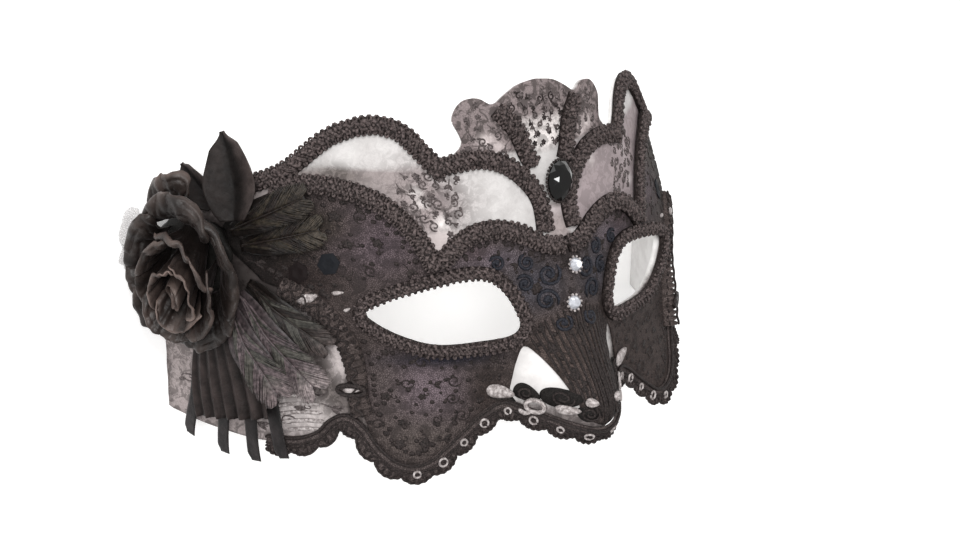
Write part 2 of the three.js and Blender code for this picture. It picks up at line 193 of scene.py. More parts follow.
def moved(points, distance, closed=False):
    along = heading(points, closed)
    return points + distance * np.stack([-along[:, 1], along[:, 0]], -1)


def mirrored(points):
    return points * np.array([-1.0, 1.0])


def both_halves(*lines):
    half = np.vstack(lines)
    return np.vstack([half, mirrored(half[1:-1])[::-1]])


def clear_of(line, other, distance):
    """The part of a line that keeps away from another."""
    gap = np.linalg.norm(line[:, None] - other[None], axis=2).min(1)
    return line[gap > distance]


def around(count):
    return np.linspace(0, TAU, count + 1)[:-1]


def oval(centre, half_width, half_height, turn):
    return np.stack([centre[0] + half_width * np.cos(turn), centre[1] + half_height * np.sin(turn)], -1)


CREST_LINE = [[0, 67], [6, 66], [11, 63.4], [14.6, 61.2], [18.6, 63.4], [23.2, 62.4], [26.2, 57.6],
              [25, 54], [24.5, 51], [27.2, 48.2]]
ARCH_LINE = [[30.8, 43.8], [32.8, 46], [35.1, 49.2], [37.4, 52.8], [40.4, 55.3], [45, 56.2],
             [50.7, 54.5], [55.3, 51.7], [59.3, 47.7], [63.2, 43.6], [66.8, 40.6], [70.6, 38.2]]
TEMPLE_TOP = [[77, 34.5], [84, 29.5]]
LOWER_LINE = [[88, -38.4], [83, -38.6], [77, -38.4], [71, -37.2], [66.4, -34], [63.6, -30.2], [61.2, -28.8],
              [59, -31], [56.6, -36.4], [53, -40.8], [48, -42.8], [42.5, -41.8], [37, -38], [31, -33],
              [25.5, -28.4], [20.5, -25.7], [15, -27.2], [8, -28.8], [0, -30]]
EYE_LINE = [[54, 4.6], [49.4, 7.4], [43.9, 9.7], [39.3, 11.2], [34.3, 12.5], [30.2, 13.3], [25.7, 13.4],
            [22.6, 12.3], [20.3, 9.9], [18.6, 7.2], [16.9, 3.6], [15.8, 0.2], [16.4, -1.9], [18.4, -3.2],
            [21.9, -3.8], [27.1, -4.2], [32.8, -4.6], [37, -4.6], [40.6, -4], [44.3, -2.6], [48.2, -0.6],
            [52, 2.2]]
BROW_LINE = [[68.5, 36], [64, 38.4], [58.3, 39.1], [53.4, 38.2], [48.6, 36.2], [44.2, 32.6],
             [40.6, 27.5], [38.2, 22], [36.8, 17]]
LOW_ARCH_LINE = [[36.6, 16.6], [33.1, 21], [30.5, 23.5], [27.1, 25.8], [23.8, 27], [20.2, 27.3],
                 [16.2, 26.5], [12.1, 24.7], [8.2, 22.2], [4.6, 20.4], [0.6, 19.9]]
INNER_ARCH_LINE = [[33.6, 43.6], [28.9, 45.4], [25.7, 46.1], [22.3, 46.5], [18.9, 46.2], [15.1, 45.1],
                   [11.7, 42.8], [8.6, 39.6], [6.2, 36.1], [4.9, 32.2], [4.7, 27.7], [5, 24.4]]
CREST_BRAID_LINE = [[5.4, 43.4], [6.9, 46.4], [8, 50.2], [9.4, 53.9], [11.5, 57], [13.8, 59.8]]
CHEEK_LINE = [[71.5, 10], [66.9, 7.5], [63.8, 4.5], [61.1, 0], [58.6, -5.8], [57.5, -13.5], [57.6, -20],
              [57.3, -26]]
LACE_TEMPLE = [[68.5, 36], [75, 31], [80.5, 22], [75, 10.8]]
LACE_LOWER = [[56, -34], [52, -39.2], [47, -41.2], [42, -39.8], [36, -35], [30, -30], [24.6, -25.6],
              [20, -23], [18.4, -17.5], [16.9, -11.5], [14.6, -7], [11.4, -9.6], [8.2, -14.5], [6.2, -19.5],
              [4, -25], [0, -27.5]]

eye = smooth_line(EYE_LINE, 1.0, True)
EYE_HOLE = moved(eye, -1.2, True)
EYE_BRAID = moved(eye, -NARROW_BRAID / 2 - 0.2, True)
HOLES = [EYE_HOLE, mirrored(EYE_HOLE)[::-1]]


# Meshes
def linked(name, data):
    made = bpy.data.objects.new(name, data)
    bpy.context.scene.collection.objects.link(made)
    return made


def add(name, shape, material, node=None, tint=None, facets=False):
    """A visible piece. Its tint is red, green, blue and how dense a veil of dark thread lies on it."""
    vertices, faces = shape
    placed = vertices + SHIFT
    placed[:, 2] = np.maximum(placed[:, 2], 0.0)
    mesh = bpy.data.meshes.new(name)
    mesh.from_pydata((placed / 1000.0).tolist(), [], faces)
    if tint is not None:
        tint = np.atleast_2d(np.asarray(tint, float))
        tones = np.ones((len(placed), 4))
        tones[:, :tint.shape[1]] = tint
        colours = mesh.attributes.new("tint", "FLOAT_COLOR", "POINT")
        colours.data.foreach_set("color", tones.astype(np.float32).ravel())
    mesh.validate()
    mesh.materials.append(material)
    if not facets:
        mesh.shade_smooth()
    piece = linked(name, mesh)
    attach(piece, "root")
    if node:
        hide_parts(node)


def joined(parts):
    """One vertex array and face list from several."""
    vertices, faces, start = [], [], 0
    for v, f in parts:
        vertices.append(v)
        faces.extend([tuple(i + start for i in face) for face in f])
        start += len(v)
    return np.vstack(vertices), faces


def inside(points, polygon):
    x, y = points[:, 0], points[:, 1]
    result = np.zeros(len(points), bool)
    ax, ay = polygon[-1]
    for bx, by in polygon:
        crosses = (ay > y) != (by > y)
        if crosses.any():
            reach = (bx - ax) * (y[crosses] - ay) / (by - ay) + ax
            result[crosses] ^= x[crosses] < reach
        ax, ay = bx, by
    return result


def filled(points, loops):
    """Which points lie in the first loop and in none of the others."""
    keep = inside(points, loops[0])
    for hole in loops[1:]:
        keep &= ~inside(points, hole)
    return keep


def edge_distance(points, polygon):
    best = np.full(len(points), 1e9)
    for a, b in zip(polygon, np.roll(polygon, -1, 0)):
        ab = b - a
        t = np.clip(((points - a) @ ab) / max(ab @ ab, 1e-9), 0, 1)
        best = np.minimum(best, np.linalg.norm(points - a - t[:, None] * ab, axis=1))
    return best


def signed_area(points):
    following = np.roll(points, -1, 0)
    return float(np.sum(points[:, 0] * following[:, 1] - following[:, 0] * points[:, 1])) / 2


def triangulated(outline, spacing):
    """Points and triangles that fill an outline round the eye holes."""
    loops = [resample(outline, spacing * 0.8, True)]
    loops += [resample(hole, spacing * 0.7, True) for hole in HOLES]
    low, high = loops[0].min(0), loops[0].max(0)
    grid = []
    for i, y in enumerate(np.arange(low[1], high[1], spacing * 0.87)):
        xs = np.arange(low[0] + (i % 2) * spacing / 2, high[0], spacing)
        grid.append(np.stack([xs, np.full(len(xs), y)], -1))
    grid = np.vstack(grid)
    grid = grid[filled(grid, loops)]
    edges = []
    start = 0
    for loop in loops:
        grid = grid[edge_distance(grid, loop) > spacing * 0.45]
        n = len(loop)
        edges += [(start + i, start + (i + 1) % n) for i in range(n)]
        start += n
    found = delaunay_2d_cdt([Vector(p) for p in np.vstack(loops + [grid]).tolist()], edges, [], 0, 1e-5)
    points = np.array([tuple(v) for v in found[0]])
    faces = np.array([f for f in found[2] if len(f) == 3])
    return points, faces[filled(points[faces].mean(1), loops)]


def patch(outline, spacing, bottom, top, relief=None):
    """A sheet that follows the face between two lifts, and the flat places of its points."""
    points, faces = triangulated(outline, spacing)
    x, y = points.T
    upper = np.full(len(points), float(top)) + (relief(x, y) if relief else 0)
    n = len(points)
    a, b, c = points[faces.T]
    area = (b[:, 0] - a[:, 0]) * (c[:, 1] - a[:, 1]) - (b[:, 1] - a[:, 1]) * (c[:, 0] - a[:, 0])
    faces[area < 0] = faces[area < 0][:, ::-1]
    faces = [tuple(map(int, f)) for f in faces]
    edges = {(f[i], f[(i + 1) % 3]): True for f in faces for i in range(3)}
    under = [(f[2] + n, f[1] + n, f[0] + n) for f in faces]
    rim = [(j, i, i + n, j + n) for i, j in edges if (j, i) not in edges]
    shape = np.vstack([on_face(x, y, upper), on_face(x, y, bottom)]), faces + under + rim
    return shape, np.hstack([x, x]), np.hstack([y, y])


def bands(rings, corners, closed=False):
    """Quads between each ring of corners and the next."""
    faces = []
    for k in range(rings if closed else rings - 1):
        here, there = k * corners, (k + 1) % rings * corners
        for i in range(corners):
            j = (i + 1) % corners
            faces.append((here + i, here + j, there + j, there + i))
    return faces


def lids(rings, corners):
    return [tuple(range(corners))[::-1], tuple(range((rings - 1) * corners, rings * corners))]


def swept(centres, sides, normals, section, closed=False):
    """A section of (side, normal) points swept along a line; section may change along it."""
    count = len(centres)
    section = np.broadcast_to(section, (count,) + np.shape(section)[-2:])
    corners = section.shape[1]
    vertices = centres[:, None] + sides[:, None] * section[..., :1] + normals[:, None] * section[..., 1:]
    faces = bands(count, corners, closed) + ([] if closed else lids(count, corners))
    return vertices.reshape(-1, 3), [face[::-1] for face in faces]


def tube(path, normals, radius, corners=6, closed=False):
    """A cord along a path in space; its radius may change along it."""
    along = heading(path, closed)
    side = unit(np.cross(along, normals))
    radius = np.broadcast_to(np.asarray(radius, float), (len(path),))
    angle = np.arange(corners) * TAU / corners
    ring = np.stack([np.cos(angle), np.sin(angle)], -1)
    return swept(path, side, np.cross(side, along), ring * radius[:, None, None], closed)


def ball(centre, radius, corners=7):
    rings = 4
    points = [(0, 0, -1)]
    for i in range(1, rings):
        phi = -math.pi / 2 + math.pi * i / rings
        for a in np.arange(corners) * TAU / corners:
            points.append((math.cos(phi) * math.cos(a), math.cos(phi) * math.sin(a), math.sin(phi)))
    points.append((0, 0, 1))
    last = len(points) - 1
    start = last - corners
    body = [tuple(1 + i for i in face) for face in bands(rings - 1, corners)]
    for j in range(corners):
        following = (j + 1) % corners
        body += [(0, 1 + following, 1 + j), (start + j, start + following, last)]
    return np.array(points) * radius + centre, body


def laid(points, lift, closed=False):
    """The places of a line on the face, with their directions across it and out of the face."""
    x, y = points.T
    centres, normals = on_face(x, y, lift), face_normal(x, y)
    return centres, unit(np.cross(heading(centres, closed), normals)), normals


class Course:
    """A line on the face, with places named by s along it, across it and up from it."""

    def __init__(self, line, lift, closed=False, step=0.5):
        table = np.hstack(laid(resample(line, step, closed), lift, closed))
        if closed:
            table = np.vstack([table, table[:1]])
        lengths = np.linalg.norm(np.diff(table[:, :3], axis=0), axis=1)
        self.s = np.concatenate([[0], np.cumsum(lengths)])
        self.total = self.s[-1]
        self.table = table
        self.closed = closed

    def frame(self, s):
        s = np.mod(s, self.total) if self.closed else np.clip(s, 0, self.total)
        row = np.stack([np.interp(s, self.s, column) for column in self.table.T], -1)
        return row[:, :3], unit(row[:, 3:6]), unit(row[:, 6:])

    def steps(self, spacing):
        s = np.linspace(0, self.total, max(3, int(round(self.total / spacing))) + 1)
        return s[:-1] if self.closed else s

    def cord(self, s, across, up, radius, corners=6):
        centre, side, normal = self.frame(s)
        across, up = (np.broadcast_to(np.asarray(v, float), s.shape)[:, None] for v in (across, up))
        return tube(centre + side * across + normal * up, normal, radius, corners, self.closed)

    def loops(self, across, hand, radius, pitch, thick, up, seed):
        """Picot loops: a cord that circles as it runs along one edge."""
        rng = random.Random(seed)
        count = max(2, int(round(self.total / pitch)))
        theta = np.linspace(0, TAU * count, 9 * count + 1)
        if self.closed:
            theta = theta[:-1]
        sizes = [rng.uniform(0.82, 1.2) for _ in range(count)]
        size = np.interp(theta / TAU, np.arange(count + 1), sizes + sizes[:1])
        s = theta / (TAU * count) * self.total + radius * size * np.sin(theta)
        reach = across - hand * radius * (1 + size * np.cos(theta))
        return self.cord(s, reach, up + 0.25 * np.sin(theta * 0.5 + 0.7), thick, 5)


def ridge(points, width, height, lift, closed=False):
    """A thin raised thread lying on the face."""
    section = np.array([[0.5, 0], [0.3, 0.8], [-0.3, 0.8], [-0.5, 0]]) * [width, height]
    taper = np.ones(len(points))
    if not closed:
        taper[0] = taper[-1] = 0.35
    return swept(*laid(points, lift, closed), section * taper[:, None, None], closed)


def boss(outline, lift, height, crown=0.7):
    """A low raised figure on the face inside a small outline."""
    if signed_area(outline) < 0:
        outline = outline[::-1]
    centre = outline.mean(0)
    rings = []
    for scale, up in ((1.0, -0.15), (1.0, 0.3 * height), (crown, height)):
        ring = centre + (outline - centre) * scale
        rings.append(on_face(ring[:, 0], ring[:, 1], lift + up))
    rings.append(on_face(centre[:1], centre[1:], lift + height * 1.1))
    n = len(outline)
    peak = [(2 * n + i, 2 * n + (i + 1) % n, 3 * n) for i in range(n)]
    return np.vstack(rings), bands(3, n) + peak + lids(3, n)[:1]


def sheet(surface, thickness, across, along):
    """A closed thin sheet round a surface of u, -1 to 1, and t, 0 to 1."""
    u, t = (v.ravel() for v in np.meshgrid(np.linspace(-1, 1, across + 1), np.linspace(0, 1, along + 1)))
    step = 0.004
    across_way = surface(u + step, t) - surface(u - step, t)
    along_way = surface(u, np.minimum(t + step, 1)) - surface(u, np.maximum(t - step, 0))
    edge = np.maximum(np.abs(u) ** 14, t**18)
    half = unit(np.cross(across_way, along_way)) * (thickness / 2 * (1 - 0.55 * edge))[:, None]
    middle = surface(u, t)
    n = len(u)
    w = across + 1
    faces = []
    for j in range(along):
        for a in range(j * w, j * w + across):
            faces.append((a, a + 1, a + 1 + w, a + w))
            faces.append((a + n + w, a + 1 + w + n, a + 1 + n, a + n))
    border = list(range(w)) + [j * w + across for j in range(1, along + 1)]
    border += [along * w + i for i in range(across - 1, -1, -1)] + [j * w for j in range(along - 1, 0, -1)]
    faces += [(b, a, a + n, b + n) for a, b in zip(border, border[1:] + border[:1])]
    return np.vstack([middle + half, middle - half]), faces


# Materials
class Shader:
    """A node material with short calls for its nodes."""

    def __init__(self, name):
        self.material = bpy.data.materials.new(name)
        self.material.use_nodes = True
        self.tree = self.material.node_tree
        self.surface = self.tree.nodes["Principled BSDF"]
        self.place = self.node("TexCoord", "Object", {})

    def node(self, kind, output, inputs, **settings):
        """An output of a new node, with values or other outputs on its inputs."""
        made = self.tree.nodes.new(f"ShaderNode{kind}")
        for key, value in settings.items():
            setattr(made, key, value)
        for key, value in inputs.items():
            self.put(made.inputs[key], value)
        return made.outputs[output]

    def put(self, socket, value):
        if isinstance(value, bpy.types.NodeSocket):
            self.tree.links.new(value, socket)
        else:
            socket.default_value = value

    def set(self, **values):
        for key, value in values.items():
            self.put(self.surface.inputs[key.replace("_", " ")], value)
        return self.material

    def noise(self, scale, detail=3.0, roughness=0.55, distortion=0.0):
        return self.node("TexNoise", "Fac", {"Vector": self.place, "Scale": scale, "Detail": detail,
                                             "Roughness": roughness, "Distortion": distortion})

    def cells(self, scale):
        inputs = {"Vector": self.place, "Scale": scale}
        return self.node("TexVoronoi", "Distance", inputs, feature="DISTANCE_TO_EDGE")

    def map(self, value, low, high, out_low=0.0, out_high=1.0):
        return self.node("MapRange", "Result", {"Value": value, "From Min": low, "From Max": high,
                                                "To Min": out_low, "To Max": out_high})

    def maths(self, operation, a, b, clamp=False):
        return self.node("Math", 0, {0: a, 1: b}, operation=operation, use_clamp=clamp)

    def times(self, a, b):
        return self.maths("MULTIPLY", a, b)

    def plus(self, a, b, clamp=False):
        return self.maths("ADD", a, b, clamp)

    def mix(self, factor, a, b, blend="MIX"):
        return self.node("Mix", 2, {0: factor, 6: a, 7: b}, data_type="RGBA", blend_type=blend)

    def tint(self, output="Color"):
        return self.node("Attribute", output, {}, attribute_name="tint")

    def relief(self, height, strength, distance=0.0004):
        inputs = {"Height": height, "Strength": strength, "Distance": distance}
        self.set(Normal=self.node("Bump", "Normal", inputs))


def colour(r, g, b):
    return (r, g, b, 1.0)


def silver_satin():
    """Satin with a mottled veil of dark lace where its tint says so."""
    s = Shader("silver_satin")
    tint, veil = s.tint(), s.tint("Alpha")
    cloud = s.map(s.noise(190, 4), 0.40, 0.64, 0.0, 0.30)
    base = s.mix(cloud, tint, s.mix(0.6, tint, colour(0.20, 0.17, 0.17)))
    blots = s.map(s.noise(360, 5, 0.62, 0.9), 0.455, 0.56)
    threads = s.map(s.cells(1150), 0.02, 0.12, 0.4, 0.0)
    cover = s.times(s.times(s.plus(blots, threads, True), veil), 0.9)
    grain = s.map(s.noise(900, 2), 0.3, 0.7, 0.40, 0.58)
    dull = s.map(veil, 0.0, 0.8, 0.0, 0.38)
    s.relief(s.plus(s.noise(2600, 2), s.times(s.noise(300, 3), 1.6)), 0.20)
    return s.set(Base_Color=s.mix(cover, base, colour(0.050, 0.042, 0.040)), Specular_IOR_Level=0.16,
                 Roughness=s.plus(grain, dull, True))


def lace_ground():
    """Black lace whose open net shows the tint behind it."""
    s = Shader("black_lace_ground")
    tint = s.tint()
    dense = s.map(s.noise(300, 5, 0.62, 0.7), 0.47, 0.60, 1.0, 0.22)
    open_net = s.times(s.map(s.cells(1800), 0.02, 0.16), dense)
    knotted = s.mix(1.0, tint, colour(0.12, 0.12, 0.12), "MULTIPLY")
    raised = s.mix(1.0, tint, colour(0.46, 0.45, 0.45), "MULTIPLY")
    weave = s.mix(s.noise(1500, 2), knotted, raised)
    s.relief(s.maths("SUBTRACT", s.noise(2400, 2), open_net), 0.5)
    return s.set(Base_Color=s.mix(open_net, weave, tint), Roughness=0.72, Specular_IOR_Level=0.18)


def thread(name, dark, light, rough, scale, gloss=0.2):
    s = Shader(name)
    grain = s.noise(scale, 3, 0.65)
    s.relief(s.plus(grain, s.noise(5200, 2)), 0.6, 0.0003)
    return s.set(Base_Color=s.mix(s.map(grain, 0.40, 0.66), colour(*dark), colour(*light)), Roughness=rough,
                 Specular_IOR_Level=gloss)


def dark_satin(name, rough, gloss, sheen):
    """Satin in the tone of its tint, cloudy and finely creased."""
    s = Shader(name)
    cloud = s.map(s.noise(230, 5, 0.6, 0.4), 0.36, 0.66, 0.55, 1.25)
    s.relief(s.plus(s.noise(2400, 2), s.times(s.noise(420, 4), 2.2)), 0.35)
    return s.set(Base_Color=s.mix(1.0, s.tint(), cloud, "MULTIPLY"), Specular_IOR_Level=gloss,
                 Roughness=s.map(s.noise(700, 2), 0.3, 0.7, rough, rough + 0.16),
                 Sheen_Weight=sheen, Sheen_Roughness=0.35, Sheen_Tint=colour(0.80, 0.68, 0.68))


def feather_barb():
    s = Shader("feather_barb")
    grain = s.map(s.noise(900, 3, 0.6), 0.36, 0.66, 0.35, 1.25)
    s.relief(s.noise(3000, 2), 0.4, 0.0003)
    return s.set(Base_Color=s.mix(1.0, s.tint(), grain, "MULTIPLY"), Roughness=0.45, Specular_IOR_Level=0.35)


def sheer():
    s = Shader("pale_sheer")
    return s.set(Base_Color=s.mix(s.noise(300, 2), colour(0.22, 0.20, 0.20), colour(0.34, 0.31, 0.31)),
                 Alpha=s.map(s.cells(1500), 0.02, 0.2, 0.34, 0.12), Roughness=0.7, Specular_IOR_Level=0.2)


def stone_finish(name, base, rough, metallic, coat, gloss=0.5):
    s = Shader(name)
    shaded = colour(*(0.8 * v for v in base))
    return s.set(Base_Color=s.mix(s.map(s.noise(500, 2), 0.4, 0.6), colour(*base), shaded), Roughness=rough,
                 Metallic=metallic, Coat_Weight=coat, Coat_Roughness=0.05, Specular_IOR_Level=gloss)


SATIN = silver_satin()
LACE = lace_ground()
BRAID = thread("gimp_braid", (0.015, 0.0115, 0.011), (0.155, 0.121, 0.117), 0.65, 1300)
TAPE = thread("braid_tape", (0.012, 0.009, 0.0085), (0.050, 0.039, 0.037), 0.8, 1500, 0.1)
CORD = thread("lace_cord", (0.010, 0.0078, 0.0075), (0.052, 0.040, 0.038), 0.6, 2200)
BLUE_CORD = thread("blue_black_cord", (0.007, 0.0075, 0.011), (0.036, 0.038, 0.050), 0.5, 2200)
SILVER_CORD = thread("silver_cord", (0.22, 0.19, 0.185), (0.62, 0.57, 0.56), 0.45, 1100, 0.4)
GREY_CORD = thread("grey_cord", (0.045, 0.036, 0.035), (0.17, 0.142, 0.140), 0.55, 1800)
PETAL_SATIN = dark_satin("rose_satin", 0.36, 0.36, 0.04)
LEAF_SATIN = dark_satin("leaf_satin", 0.50, 0.16, 0.015)
FAN_SATIN = dark_satin("fan_satin", 0.48, 0.16, 0.015)
RIBBON_SATIN = dark_satin("ribbon_satin", 0.40, 0.20, 0.01)
FEATHER = feather_barb()
PALE_SHEER = sheer()
JET = stone_finish("jet", (0.002, 0.002, 0.002), 0.05, 0.0, 0.25)
CRYSTAL = stone_finish("clear_stone", (0.72, 0.74, 0.80), 0.06, 0.35, 1.0)
SEQUIN_BLUE = stone_finish("slate_sequin", (0.011, 0.012, 0.015), 0.7, 0.0, 0.0, 0.12)
SEQUIN_RED = stone_finish("oxblood_sequin", (0.011, 0.007, 0.007), 0.7, 0.0, 0.0, 0.12)


def blend(weight, under, over):
    w = np.clip(weight, 0, 1)[:, None]
    return np.asarray(under, float) * (1 - w) + np.asarray(over, float) * w


def tinted(base, zones):
    """A base tone with other tones laid over it, each by its own weight."""
    for weight, tone in zones:
        base = blend(weight, base, tone)
    return base


# The satin shell
def satin_tint(x, y):
    """Tones of the satin, with the rose side at negative x. The last number is the veil."""
    side = np.abs(x)
    gauze = (1 - smooth(43.0, 44.6, y + 0.07 * (side - 50))) * smooth(33, 36, side) * smooth(10, 20, y)
    gauze_lines = 0.45 * gauze * bump(side, 41, 3) * (np.sin(x * 3.4) > 0.2)
    v_lace = spot(side, y, 35.5, 34.5, 8, 8.5) ** 0.7
    crest = smooth(46.5, 48.5, y) * (1 - smooth(30, 32, side))
    middle = crest * (1 - smooth(3.0, 5.0, side - (y - 43.4) * 0.5))
    top = crest * smooth(54, 58, y)
    temple = smooth(62, 70, side) * (1 - smooth(24, 30, y))
    notch = spot(side, y, 60.2, -8.5, 3.0, 7)
    shade = smooth(68, 71, side) * smooth(-1, 4, y) * (1 - smooth(24, 30, y))
    corner = smooth(54, 57, side) * (1 - smooth(66, 71, side)) * (1 - smooth(1, 5, y))
    lines = spot(side, y, 72, -28, 6, 6)
    diamond = (1 - smooth(3, 4.5, side)) * smooth(18, 20, y) * (1 - smooth(31, 33, y))
    # painted shade on the far half: its panel between the braids is made greyer and given more dark veil
    # than the near one, with light flecks kept on it
    far = smooth(4, 7, x) * smooth(21, 25, y) * (1 - smooth(46, 48, y))
    return tinted((0.645, 0.625, 0.615, 0.08), [
        (0.95 * gauze, (0.315, 0.272, 0.265, 0.08)),
        (gauze_lines, (0.19, 0.162, 0.160, 0.1)),
        (0.95 * spot(side, y, 55, 42.2, 5.5, 2.4), (0.11, 0.092, 0.080, 0.8)),
        (0.9 * spot(side, y, 60, 41, 6, 1.6), (0.30, 0.26, 0.25, 0.5)),
        (1.15 * v_lace, (0.34, 0.288, 0.286, 0.95)),
        (spot(side, y, 38, 38.2, 1.3), (0.78, 0.74, 0.72, 0.0)),
        (spot(side, y, 37.2, 35, 1.6, 1.2), (0.82, 0.77, 0.75, 0.1)),
        (spot(side, y, 33.2, 29.5, 1.5, 2.2), (0.84, 0.79, 0.77, 0.1)),
        (0.9 * spot(side, y, 31.5, 36.5, 3.0, 2.0), (0.20, 0.17, 0.17, 0.2)),
        (smooth(28.5, 26.0, y) * bump(side, 34, 6), (0.60, 0.53, 0.52, 0.05)),
        (crest, (0.225, 0.183, 0.182, 0.95)),
        (0.95 * middle, (0.80, 0.75, 0.73, 0.55)),
        (top, (0.250, 0.207, 0.206, 0.85)),
        (crest * spot(side, y, 18.0, 51.8, 2.4, 2.0), (0.70, 0.62, 0.61, 0.1)),
        (crest * spot(side, y, 14.6, 49.4, 1.8, 1.6), (0.66, 0.58, 0.57, 0.1)),
        (0.9 * temple, (0.32, 0.270, 0.265, 0.75)),
        (0.97 * shade, (0.014, 0.010, 0.009, 0.9)),
        (0.95 * corner, (0.120, 0.098, 0.092, 0.8)),
        (1.3 * notch, (0.70, 0.63, 0.62, 0.25)),
        (0.8 * spot(side, y, 66.5, -30, 3.5, 4.5), (0.55, 0.50, 0.49, 0.3)),
        (lines, (0.62, 0.57, 0.56, 0.3)),
        (diamond, (0.40, 0.342, 0.335, 0.30)),
        (diamond * bump(y, 30, 1.5), (0.60, 0.53, 0.53, 0.1)),
        (far, (0.370, 0.310, 0.318, 0.30)),
        (far * spot(x, y, 37.6, 29.5, 2.2, 1.6), (0.62, 0.56, 0.56, 0.0)),
        (far * spot(x, y, 17.3, 42.4, 1.8, 3.0), (0.62, 0.56, 0.55, 0.0)),
        (0.6 * far * spot(x, y, 36.7, 37, 2.0, 5), (0.50, 0.44, 0.45, 0.0)),
        # painted shade on the far half below the eyes
        (smooth(3, 6, x) * smooth(0, -6, y), (0.13, 0.105, 0.100, 0.9)),
        ((1 - smooth(20, 24, side)) * smooth(-22.5, -25, y), (0.26, 0.225, 0.22, 0.7)),
        (spot(side, y, 11, -12.5, 6, 7), (0.84, 0.82, 0.81, 0.0)),
    ])


def satin_relief(x, y):
    return 0.05 * np.sin(x * 0.9 + 1.3 * np.sin(y * 0.21)) + 0.06 * np.sin(y * 0.7 + x * 0.35)


LINING = (0.80, 0.79, 0.78, 0.0)
SATIN_SPACING = 1.5
ARCH_END = 85.5
TEMPLE_ROWS = 46
arch = moved(smooth_line(ARCH_LINE + TEMPLE_TOP, OUTLINE_STEP), 1.2)
arch = arch[arch[:, 0] < ARCH_END]
rows = np.linspace(arch[-1, 1] - 1.5, LOWER_LINE[0][1] + 1.0, TEMPLE_ROWS)
temple_edge = np.stack([temple_x(rows, -1.2), rows], -1)
crest_edge, lower_edge = (smooth_line(line, OUTLINE_STEP) for line in (CREST_LINE, LOWER_LINE))
outline = both_halves(crest_edge, arch, temple_edge, lower_edge)
shape, x, y = patch(outline, SATIN_SPACING, 0.0, SHELL_TOP, satin_relief)
tones = satin_tint(x, y)
tones[len(tones) // 2:] = LINING
add("satin_shell", shape, SATIN, "mask_shell", tones)


# The dark lace
def lace_tint(x, y):
    side = np.abs(x)
    near = (x < 0).astype(float)
    return tinted((0.086, 0.067, 0.063), [
        (spot(side, y, 50, 25, 12, 10), (0.127, 0.096, 0.109)),
        (0.8 * spot(side, y, 62, 28, 9, 5), (0.066, 0.052, 0.038)),
        (0.9 * spot(side, y, 72, 22, 9, 12), (0.032, 0.024, 0.018)),
        (0.9 * spot(side, y, 66, 13, 8, 5), (0.040, 0.028, 0.026)),
        (spot(side, y, 22, 19, 9, 3.5), (0.200, 0.165, 0.190)),
        (0.9 * spot(side, y, 26, 21, 5, 3), (0.125, 0.092, 0.098)),
        (spot(side, y, 10, 10, 8, 8), (0.090, 0.084, 0.100)),
        (0.9 * spot(side, y, 3, 18, 5, 2), (0.060, 0.048, 0.048)),
        # the near cheek's mauve lace, lighter at its centre as a painted highlight
        (near * spot(side, y, 41, -18, 10, 10), (0.190, 0.147, 0.165)),
        (near * 0.9 * spot(side, y, 52, -17, 4, 9), (0.130, 0.104, 0.102)),
        (near * 0.9 * spot(side, y, 26, -20, 5, 9), (0.052, 0.038, 0.034)),
        (spot(side, y, 36, -9.2, 15, 2.3), (0.020, 0.020, 0.032)),
        (spot(side, y, 6, -9, 9, 11), (0.105, 0.078, 0.070)),
        (near * 0.7 * spot(side, y, 44, -33, 12, 6), (0.120, 0.098, 0.090)),
        # painted shade on the far half below the eyes
        (0.85 * smooth(8, 14, x) * smooth(6, -2, y), (0.070, 0.052, 0.048)),
        # painted shadow of the rose on the lace beside it, on both halves
        (0.95 * smooth(67, 73, side) * smooth(2, 7, y), (0.016, 0.012, 0.011)),
        (0.85 * spot(side, y, 69, 12, 6, 4), (0.026, 0.018, 0.017)),
    ])


LACE_SPACING = 1.4
lace_outline = both_halves(
    [[0, 19.4]],
    smooth_line(LOW_ARCH_LINE[::-1], OUTLINE_STEP),
    smooth_line(BROW_LINE[::-1], OUTLINE_STEP),
    smooth_line(LACE_TEMPLE, OUTLINE_STEP)[1:-1],
    smooth_line(LACE_TEMPLE[-1:] + CHEEK_LINE[1:] + [[56.6, -31]], OUTLINE_STEP),
    smooth_line(LACE_LOWER, 1.2),
)
shape, x, y = patch(lace_outline, LACE_SPACING, LACE_BOTTOM, LACE_FACE)
add("lace_ground", shape, LACE, "lace_overlay", lace_tint(x, y))


# Raised threads and figures of the lace: curls, leaves and blossoms
SHAKE = 0.26


def curl(centre, angle, size, turns, hand=1):
    t = np.linspace(0, 1, 18)
    radius = size * (1 - 0.78 * t)
    return oval(centre, radius, radius, angle + hand * t * turns * TAU)


def leaf_loop(centre, angle, length, width, count=14):
    t = around(count)
    along = np.cos(t) * length / 2
    across = np.sin(t) * width / 2 * (1 - 0.35 * np.cos(t))
    c, s = math.cos(angle), math.sin(angle)
    return np.stack([centre[0] + along * c - across * s, centre[1] + along * s + across * c], -1)


def blossom(centre, radius, petals, turn, depth=0.38):
    t = around(petals * 5)
    r = radius * (1 - depth + depth * np.abs(np.cos(petals * t / 2)))
    return oval(centre, r, r, t + turn)


def scattered(region, gap, seed):
    """Points on a shaken grid that fall in a region."""
    rng = random.Random(seed)
    found = []
    y = -60.0
    row = 0
    while y < 75:
        x = -96.0 + (row % 2) * gap / 2
        while x < 96:
            found.append((x + rng.uniform(-SHAKE, SHAKE) * gap, y + rng.uniform(-SHAKE, SHAKE) * gap))
            x += gap
        y += gap * 0.87
        row += 1
    points = np.array(found)
    return points[region(points)]


def in_lace(points, margin):
    keep = filled(points, [lace_outline] + HOLES) & (edge_distance(points, lace_outline) > margin)
    for hole in HOLES:
        keep &= edge_distance(points, hole) > margin + 2.6
    return keep


